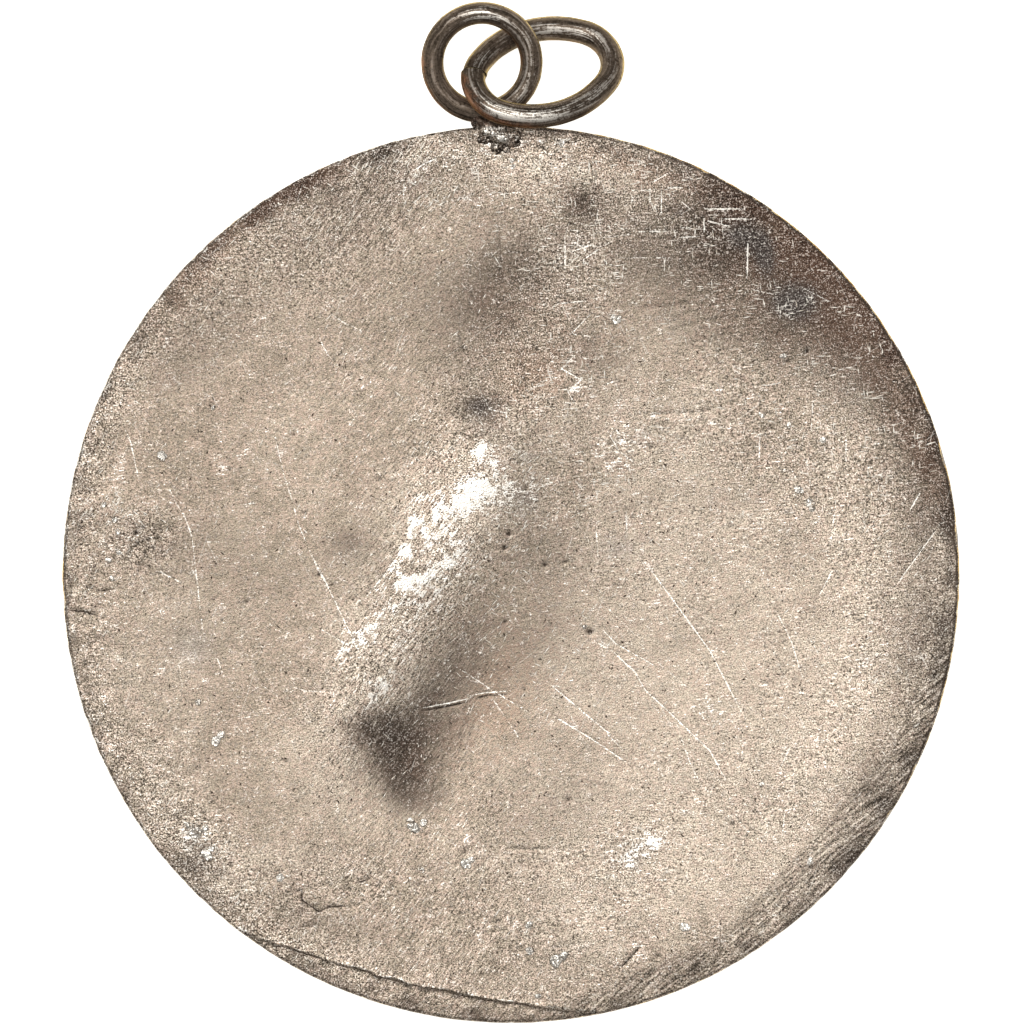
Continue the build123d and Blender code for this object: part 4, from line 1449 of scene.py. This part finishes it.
        # Tarnish and painted shade: the spots, a darker ring along the edge, and painted shade at the foot of
        # the step
        ring_dark = 0.24 * eased(radius, *DARK_RING)
        ring_cloud = cloud(x + EDGE_HEIGHT - z, y + EDGE_HEIGHT - z, 0.8, 51)
        ring_dark = ring_dark + 0.22 * ring_cloud * eased(radius, *CLOUDY_RING)
        tarnish = np.clip(spots(TARNISH_AND_SHADE, x, y) + ring_dark, 0, 1)
        # Painted shade along the foot of the step
        tarnish = np.clip(tarnish + 0.30 * fading(beyond, 0.08, 0.05), 0, 1)
        tarnish = np.where(hidden, 0.25 + 0.15 * cloud(x, y, 2.0, 52), tarnish)

        # Cracks, pits, a painted shadow at the lower right foot of each bead, and the dark line behind the
        # lip
        crack_and_shadow = lines(CRACKS_AND_SHADOWS, x, y, CRACK_HALF_WIDTH)
        for right, down, pit in PITS:
            crack_and_shadow = np.maximum(crack_and_shadow, np.exp(-1.2 * away(x, y, right, down, pit) ** 2))
        # Painted shadow of each bead, cast to its lower right
        for right, down, reach in NODULES:
            foot = away(x, y, right + 0.55 * reach, down + 0.65 * reach, reach)
            crack_and_shadow = np.maximum(crack_and_shadow, 0.26 * np.exp(-1.3 * foot**4))
        crack_and_shadow = crack_and_shadow * shown
        crack_and_shadow = np.maximum(crack_and_shadow, brow * (0.60 + 0.80 * warm) * (0.80 + 0.4 * cloud(x, y, 0.5, 59)))

        # Scratches, a painted highlight along the upper edge of the step, and the pale side of the lip, worn
        # and painted as a highlight
        scratch = lines(SCRATCHES, x, y, SCRATCH_HALF_WIDTH)
        # Painted highlight along the upper edge of the step
        ridge = fading(beyond, -0.035, 0.035)
        scratch = np.maximum(scratch, (0.34 + 0.25 * cloud(x, y, 0.5, 55)) * ridge)
        scratch = np.maximum(scratch, lip * (0.50 + 0.50 * cloud(x, y, 0.45, 54)))

        # Lines of the file, and the side where the grain slants
        filed = np.zeros_like(x)
        for heading, start, _ in FILED_FACETS:
            filed = np.maximum(filed, eased(facet_distance(x, y, heading), start, start + 0.15))
        slanting = eased(-(x * 0.85 + y * 0.1), -1.0, 3.0) * eased(x, -13, -7)

        # The tarnish marks carry painted shade, and the worn and burnish marks painted highlights, besides
        # real tarnish and wear
        marked(mesh, "tarnish", tarnish)
        marked(mesh, "worn", np.where(hidden, 0.4, spots(WORN_AND_LIT, x, y)))
        marked(mesh, "copper", spots(COPPER, x, y) * shown)
        marked(mesh, "ash", spots(ASH, x, y) * shown)
        marked(mesh, "burnish_and_highlight", burnish_and_highlight * shown)
        marked(mesh, "rubbed", rubbed * shown)
        marked(mesh, "crust", crust * shown * shallow)
        marked(mesh, "keen", keen * shown * (0.3 + 0.7 * shallow))
        marked(mesh, "scratch", np.clip(scratch, 0, 1) * shown)
        marked(mesh, "crack_and_shadow", np.clip(crack_and_shadow, 0, 1))
        marked(mesh, "edge", np.clip(edge, 0, 1))
        marked(mesh, "filed", filed * shown)
        marked(mesh, "slanting", slanting * shown)

        # How thickly the fine strokes and flecks lie on the open back, and their heading
        open_back = shown * eased(radius, *OPEN_EDGE)
        rubs = 0.02 + 0.85 * rubbed + 0.2 * burnish_and_highlight + 0.12 * keen
        rubs = rubs * eased(cloud(x, y, 0.6, 56) + 0.6 * cloud(x, y, 1.7, 58), -0.25, 0.85)
        marked(mesh, "rubs", np.clip(rubs, 0, 1) * open_back)
        flecks = 0.45 + 0.6 * crust + 0.35 * cloud(x, y, 2.1, 57)
        marked(mesh, "flecks", np.clip(flecks, 0, 1) * open_back)
        right_side = np.where(y > 3.0, LEVEL_GRAIN, FILED_GRAIN)
        marked(mesh, "heading", np.radians(np.where(x + 0.3 * y > 4.0, right_side, SLANT_GRAIN)))


class MEDAL_OT_nodules(bpy.types.Operator):
    """Build the beads and lumps that the casting left on the back"""
    bl_idname = "medal.nodules"
    bl_label = "Casting Nodules"

    def execute(self, context):
        thickness = context.scene.medal_sizes.medal_thickness / MM
        places = np.array([on_sheet(right, down) for right, down, _ in NODULES])
        reach = np.array([radius * SHEET_SQUARE * MM for *_, radius in NODULES])
        heights = back_height(places[:, 0], places[:, 1], thickness)
        points = [(x, y + MEDAL_CENTRE_Y, z + 0.1 * r / MM) for (x, y), z, r in zip(places, heights, reach)]
        piece = carrier_of("casting_nodules", points)
        marked(piece.data, "reach", reach)
        mesh = grown(piece, nodule_tree(), Finish=worn_silver(context.scene.medal_colours, "nodule_silver"))
        for name, amount in LIT_BURNISHED_LUMP.items():
            marked(mesh, name, amount)
        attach(piece, "root")
        return {"FINISHED"}


class MEDAL_OT_rubs(bpy.types.Operator):
    """Scatter the fine bright rubs and the small dark flecks over the back"""
    bl_idname = "medal.rubs"
    bl_label = "Fine Rubs and Flecks"

    def execute(self, context):
        colours = context.scene.medal_colours
        tree = stroke_tree()
        self.scatter(
            "fine_rubs", tree, Weight="rubs", Density=2.4e7, Seed=5,
            Shortest=0.10 * MM, Longest=0.60 * MM, Narrowest=0.030 * MM, Widest=0.060 * MM,
            Spread=0.25, Crossed=0.28, Lift=0.004 * MM, Finish=bright_mark(colours))
        self.scatter(
            "dark_flecks", tree, Weight="flecks", Density=1.6e6, Seed=9,
            Shortest=0.08 * MM, Longest=0.26 * MM, Narrowest=0.05 * MM, Widest=0.11 * MM,
            Spread=1.6, Crossed=0.5, Lift=0.002 * MM, Finish=dark_mark(colours))
        return {"FINISHED"}

    def scatter(self, name, tree, **inputs):
        """Grows one kind of mark from the body's mesh."""
        piece = linked(name, bpy.data.objects["medal_body"].data.copy())
        mesh = grown(piece, tree, **inputs)
        for layer in [a.name for a in mesh.attributes if not a.is_required and not a.is_internal]:
            mesh.attributes.remove(mesh.attributes[layer])
        mesh.shade_flat()
        mesh.materials.clear()
        mesh.materials.append(inputs["Finish"])
        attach(piece, "root")


class MEDAL_OT_solder(bpy.types.Operator):
    """Build the pitted lump and neck of solder that hold the loop"""
    bl_idname = "medal.solder"
    bl_label = "Solder"

    def execute(self, context):
        shell = bmesh.new()
        for right, down, level, across, up, high in SOLDER_DROPS:
            x, y = on_sheet(right, down)
            drop = bmesh.ops.create_icosphere(shell, subdivisions=3, radius=1.0)["verts"]
            for vertex in drop:
                co = vertex.co
                co = Vector((co.x * across + x, co.y * up + y, co.z * high + level))
                vertex.co = (co + Vector((0, MEDAL_CENTRE_Y, 0))) * MM
        lump = bpy.data.meshes.new("solder")
        shell.to_mesh(lump)
        shell.free()
        piece = linked("solder", lump)
        joined = piece.modifiers.new("One skin", "REMESH")
        joined.mode = "VOXEL"
        joined.voxel_size = SOLDER_VOXEL * MM
        settled = piece.modifiers.new("Settled", "SMOOTH")
        settled.factor = 0.5
        settled.iterations = SOLDER_SMOOTHING
        skin = made_plain(piece)
        pits = self.roughened(skin)
        self.paint(skin, pits, *places_of(skin))
        skin.shade_smooth()
        skin.materials.append(worn_silver(context.scene.medal_colours, "pitted_solder"))
        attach(piece, "root")
        return {"FINISHED"}

    def roughened(self, skin):
        """Gives the skin its lumps and pits, and tells how deep in a pit each point lies."""
        normals = [vertex.normal.copy() for vertex in skin.vertices]
        pits = []
        for vertex, normal in zip(skin.vertices, normals):
            place = vertex.co / MM
            lumps = noise.fractal(place * SOLDER_LUMPS[0], 1.0, 2.0, 3) * SOLDER_LUMPS[1]
            grit = noise.noise(place * SOLDER_GRIT[0]) * SOLDER_GRIT[1]
            pit = noise.noise(place * SOLDER_PITS[0] + Vector((4, 2, 1))) - PIT_THRESHOLD
            pit = max(0.0, pit) * SOLDER_PITS[1]
            vertex.co += normal * (lumps + grit - pit) * MM
            pits.append(min(1.0, 7 * pit))
        return pits

    def paint(self, skin, pits, x, y, z):
        """Keeps where each finish lies, with painted light: a painted highlight on top and at the highlight
        spots, painted shade at the low sides and under the ring.
        """
        shadowed = eased(y, 22.30, 22.60)
        lit = 1 - shadowed
        high = eased(z, 2.38, 2.62)
        side_shade = 1 - eased(z, 2.26, 2.40)
        # Painted shade under the ring and at the low sides goes into the tarnish
        tone = 0.26 + 0.95 * shadowed + 0.50 * side_shade + 0.32 * cloud(x, y, 0.35, 61)
        tone = tone + near(SOLDER_STAINS, x, y)
        marked(skin, "tarnish", np.clip(tone - 0.3 * high, 0, 1))
        marked(skin, "copper", 0.25 + 0.3 * shadowed)
        # Worn and rubbed grow on top, as a painted highlight
        marked(skin, "worn", (0.4 + 0.6 * high) * lit)
        marked(skin, "rubbed", (0.3 + 0.7 * high) * lit - 2.5 * shadowed)
        marked(skin, "crust", 0.9 * lit)
        marked(skin, "keen", lit)
        # Painted highlights at the listed spots
        marked(skin, "burnish_and_highlight", near(SOLDER_HIGHLIGHTS, x, y))
        marked(skin, "crack_and_shadow", pits)


class MEDAL_OT_loop(bpy.types.Operator):
    """Build the round wire loop that is soldered to the edge"""
    bl_idname = "medal.loop"
    bl_label = "Soldered Loop"

    def execute(self, context):
        points = [loop_point(-90 + 360 * i / LOOP_STEPS) for i in range(LOOP_STEPS)]
        finish = dark_wire(context.scene.medal_colours, "drawn_oxidised_wire")
        piece = drawn_wire("soldered_loop", points, True, context.scene.medal_sizes.loop_wire, finish)
        self.nicked(piece.data, loop_point(NICK_ANGLE) + NICK_OFFSET)
        painted_wire(piece.data, LOOP_STAINS, LOOP_HIGHLIGHTS, 0.05)
        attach(piece, "root")
        return {"FINISHED"}

    def nicked(self, mesh, place):
        """Presses a small nick into the wire at a place in millimetres."""
        for vertex in mesh.vertices:
            gap = (vertex.co / MM - place).length
            if gap < NICK_REACH:
                inward = (LOOP_CENTRE * MM - vertex.co).normalized()
                vertex.co += inward * NICK_DEPTH * MM * (1 - gap / NICK_REACH)


class MEDAL_OT_jump_ring(bpy.types.Operator):
    """Build the cut oval jump ring that is threaded through the loop"""
    bl_idname = "medal.jump_ring"
    bl_label = "Jump Ring"

    def execute(self, context):
        start = RING_CUT_PLACE + RING_CUT_HALF
        sweep = 360 - 2 * RING_CUT_HALF
        beside = RING_FACE.cross(RING_ALONG)
        points = []
        for i in range(RING_STEPS + 1):
            angle = (start + sweep * i / RING_STEPS + 180) % 360 - 180
            outward = RING_ALONG * cos(radians(angle)) + beside * sin(radians(angle))
            bent = max(0.0, 1 - i / RING_END_STEPS)
            points.append(oval_point(angle) + outward * RING_END_OFFSET * bent)
        finish = dark_wire(context.scene.medal_colours, "cut_oxidised_wire")
        piece = drawn_wire("cut_jump_ring", points, False, context.scene.medal_sizes.ring_wire, finish)
        self.burred(piece.data)
        painted_wire(piece.data, RING_STAINS, RING_HIGHLIGHTS, 0.18)
        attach(piece, "root")
        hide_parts("jump_ring")
        return {"FINISHED"}

    def burred(self, mesh):
        """Raises the small burr that the saw left beside the cut."""
        x, y = on_sheet(*BURR_PLACE)
        for vertex in mesh.vertices:
            gap = hypot(vertex.co.x / MM - x, vertex.co.y / MM - MEDAL_CENTRE_Y - y)
            if gap < BURR_REACH:
                vertex.co += vertex.normal * BURR_HEIGHT * MM * (1 - gap / BURR_REACH)


class MEDAL_OT_stage(bpy.types.Operator):
    """Build the pale ground, the soft lights and the camera"""
    bl_idname = "medal.stage"
    bl_label = "Stage"

    def execute(self, context):
        scene = context.scene
        self.lay_ground(scene)
        self.hang_softbox()
        self.light_world(scene)
        self.set_camera(scene)
        scene.view_settings.view_transform = "Standard"
        return {"FINISHED"}

    def lay_ground(self, scene):
        """A wide pale sheet at the table's height, evenly lit from below so that it stays white."""
        reach = 6.0
        corners = [(-reach, -reach, 0), (reach, -reach, 0), (reach, reach, 0), (-reach, reach, 0)]
        mesh = bpy.data.meshes.new("pale_ground")
        mesh.from_pydata(corners, [], [(0, 1, 2, 3)])
        ground = linked("pale_ground", mesh)
        f = Finish(bpy.data.materials.new("pale_ground"))
        mesh.materials.append(f.surface(
            Base_Color=opaque(scene.medal_colours.ground), Roughness=0.9,
            Emission_Color=(1.0, 0.985, 0.94, 1.0), Emission_Strength=0.95))

    def hang_softbox(self):
        """A large soft lamp above, turned to the medal."""
        lamp = bpy.data.lights.new("overhead_softbox", "AREA")
        lamp.shape = "RECTANGLE"
        lamp.size = 0.62
        lamp.size_y = 0.50
        lamp.energy = 3.9
        lamp.color = (1.0, 0.985, 0.96)
        softbox = linked("overhead_softbox", lamp)
        softbox.location = SOFTBOX_PLACE
        softbox.rotation_euler = SOFTBOX_PLACE.to_track_quat("Z", "Y").to_euler()

    def light_world(self, scene):
        """A studio that is dim at the sides and bright straight above."""
        world = bpy.data.worlds.new("studio")
        scene.world = world
        w = Finish(world)
        direction = w.node("ShaderNodeTexCoord", output="Generated")
        up = w.node("ShaderNodeSeparateXYZ", {}, {0: direction}, "Z")
        sky = w.mix(w.rise(up, 0.0, 0.62), (0.16, 0.15, 0.14), (0.24, 0.23, 0.22))
        sky = w.mix(w.rise(up, 0.62, 1.0), sky, (0.95, 0.94, 0.92))
        glow = w.node("ShaderNodeBackground", {}, {"Color": sky, "Strength": 1.0})
        w.node("ShaderNodeOutputWorld", {}, {"Surface": glow})

    def set_camera(self, scene):
        """A long lens straight above, whose view is the sheet of squares at the back's height."""
        lens = bpy.data.cameras.new("camera")
        lens.lens = 1000
        lens.sensor_width = 36
        lens.clip_start = 0.01
        lens.clip_end = 20
        half_view = 512 * SHEET_SQUARE * MM
        height = BACK_LEVEL + half_view * lens.lens / (lens.sensor_width / 2)
        camera = linked("camera", lens)
        camera.location = (*CAMERA_SHIFT, height)
        scene.camera = camera


class MEDAL_PT_panel(bpy.types.Panel):
    """Lists the pieces, sizes and colours"""
    bl_label = "Commemorative Medal"
    bl_idname = "MEDAL_PT_panel"
    bl_space_type = "VIEW_3D"
    bl_region_type = "UI"
    bl_category = "Medal"

    def draw(self, context):
        for group in (context.scene.medal_sizes, context.scene.medal_colours):
            for name in group.__annotations__:
                self.layout.prop(group, name)
        for operator in OPERATORS:
            self.layout.operator(operator.bl_idname)


OPERATORS = (
    MEDAL_OT_stage, MEDAL_OT_body, MEDAL_OT_nodules, MEDAL_OT_rubs, MEDAL_OT_solder, MEDAL_OT_loop,
    MEDAL_OT_jump_ring,
)
CLASSES = (MedalSizes, MedalColours, *OPERATORS, MEDAL_PT_panel)


def register():
    for one in CLASSES:
        bpy.utils.register_class(one)
    bpy.types.Scene.medal_sizes = bpy.props.PointerProperty(type=MedalSizes)
    bpy.types.Scene.medal_colours = bpy.props.PointerProperty(type=MedalColours)


def unregister():
    del bpy.types.Scene.medal_colours
    del bpy.types.Scene.medal_sizes
    for one in reversed(CLASSES):
        bpy.utils.unregister_class(one)


def main():
    register()
    bpy.ops.medal.stage()
    bpy.ops.medal.body()
    bpy.ops.medal.nodules()
    bpy.ops.medal.rubs()
    bpy.ops.medal.solder()
    bpy.ops.medal.loop()
    bpy.ops.medal.jump_ring()


if __name__ == "__main__":
    main()
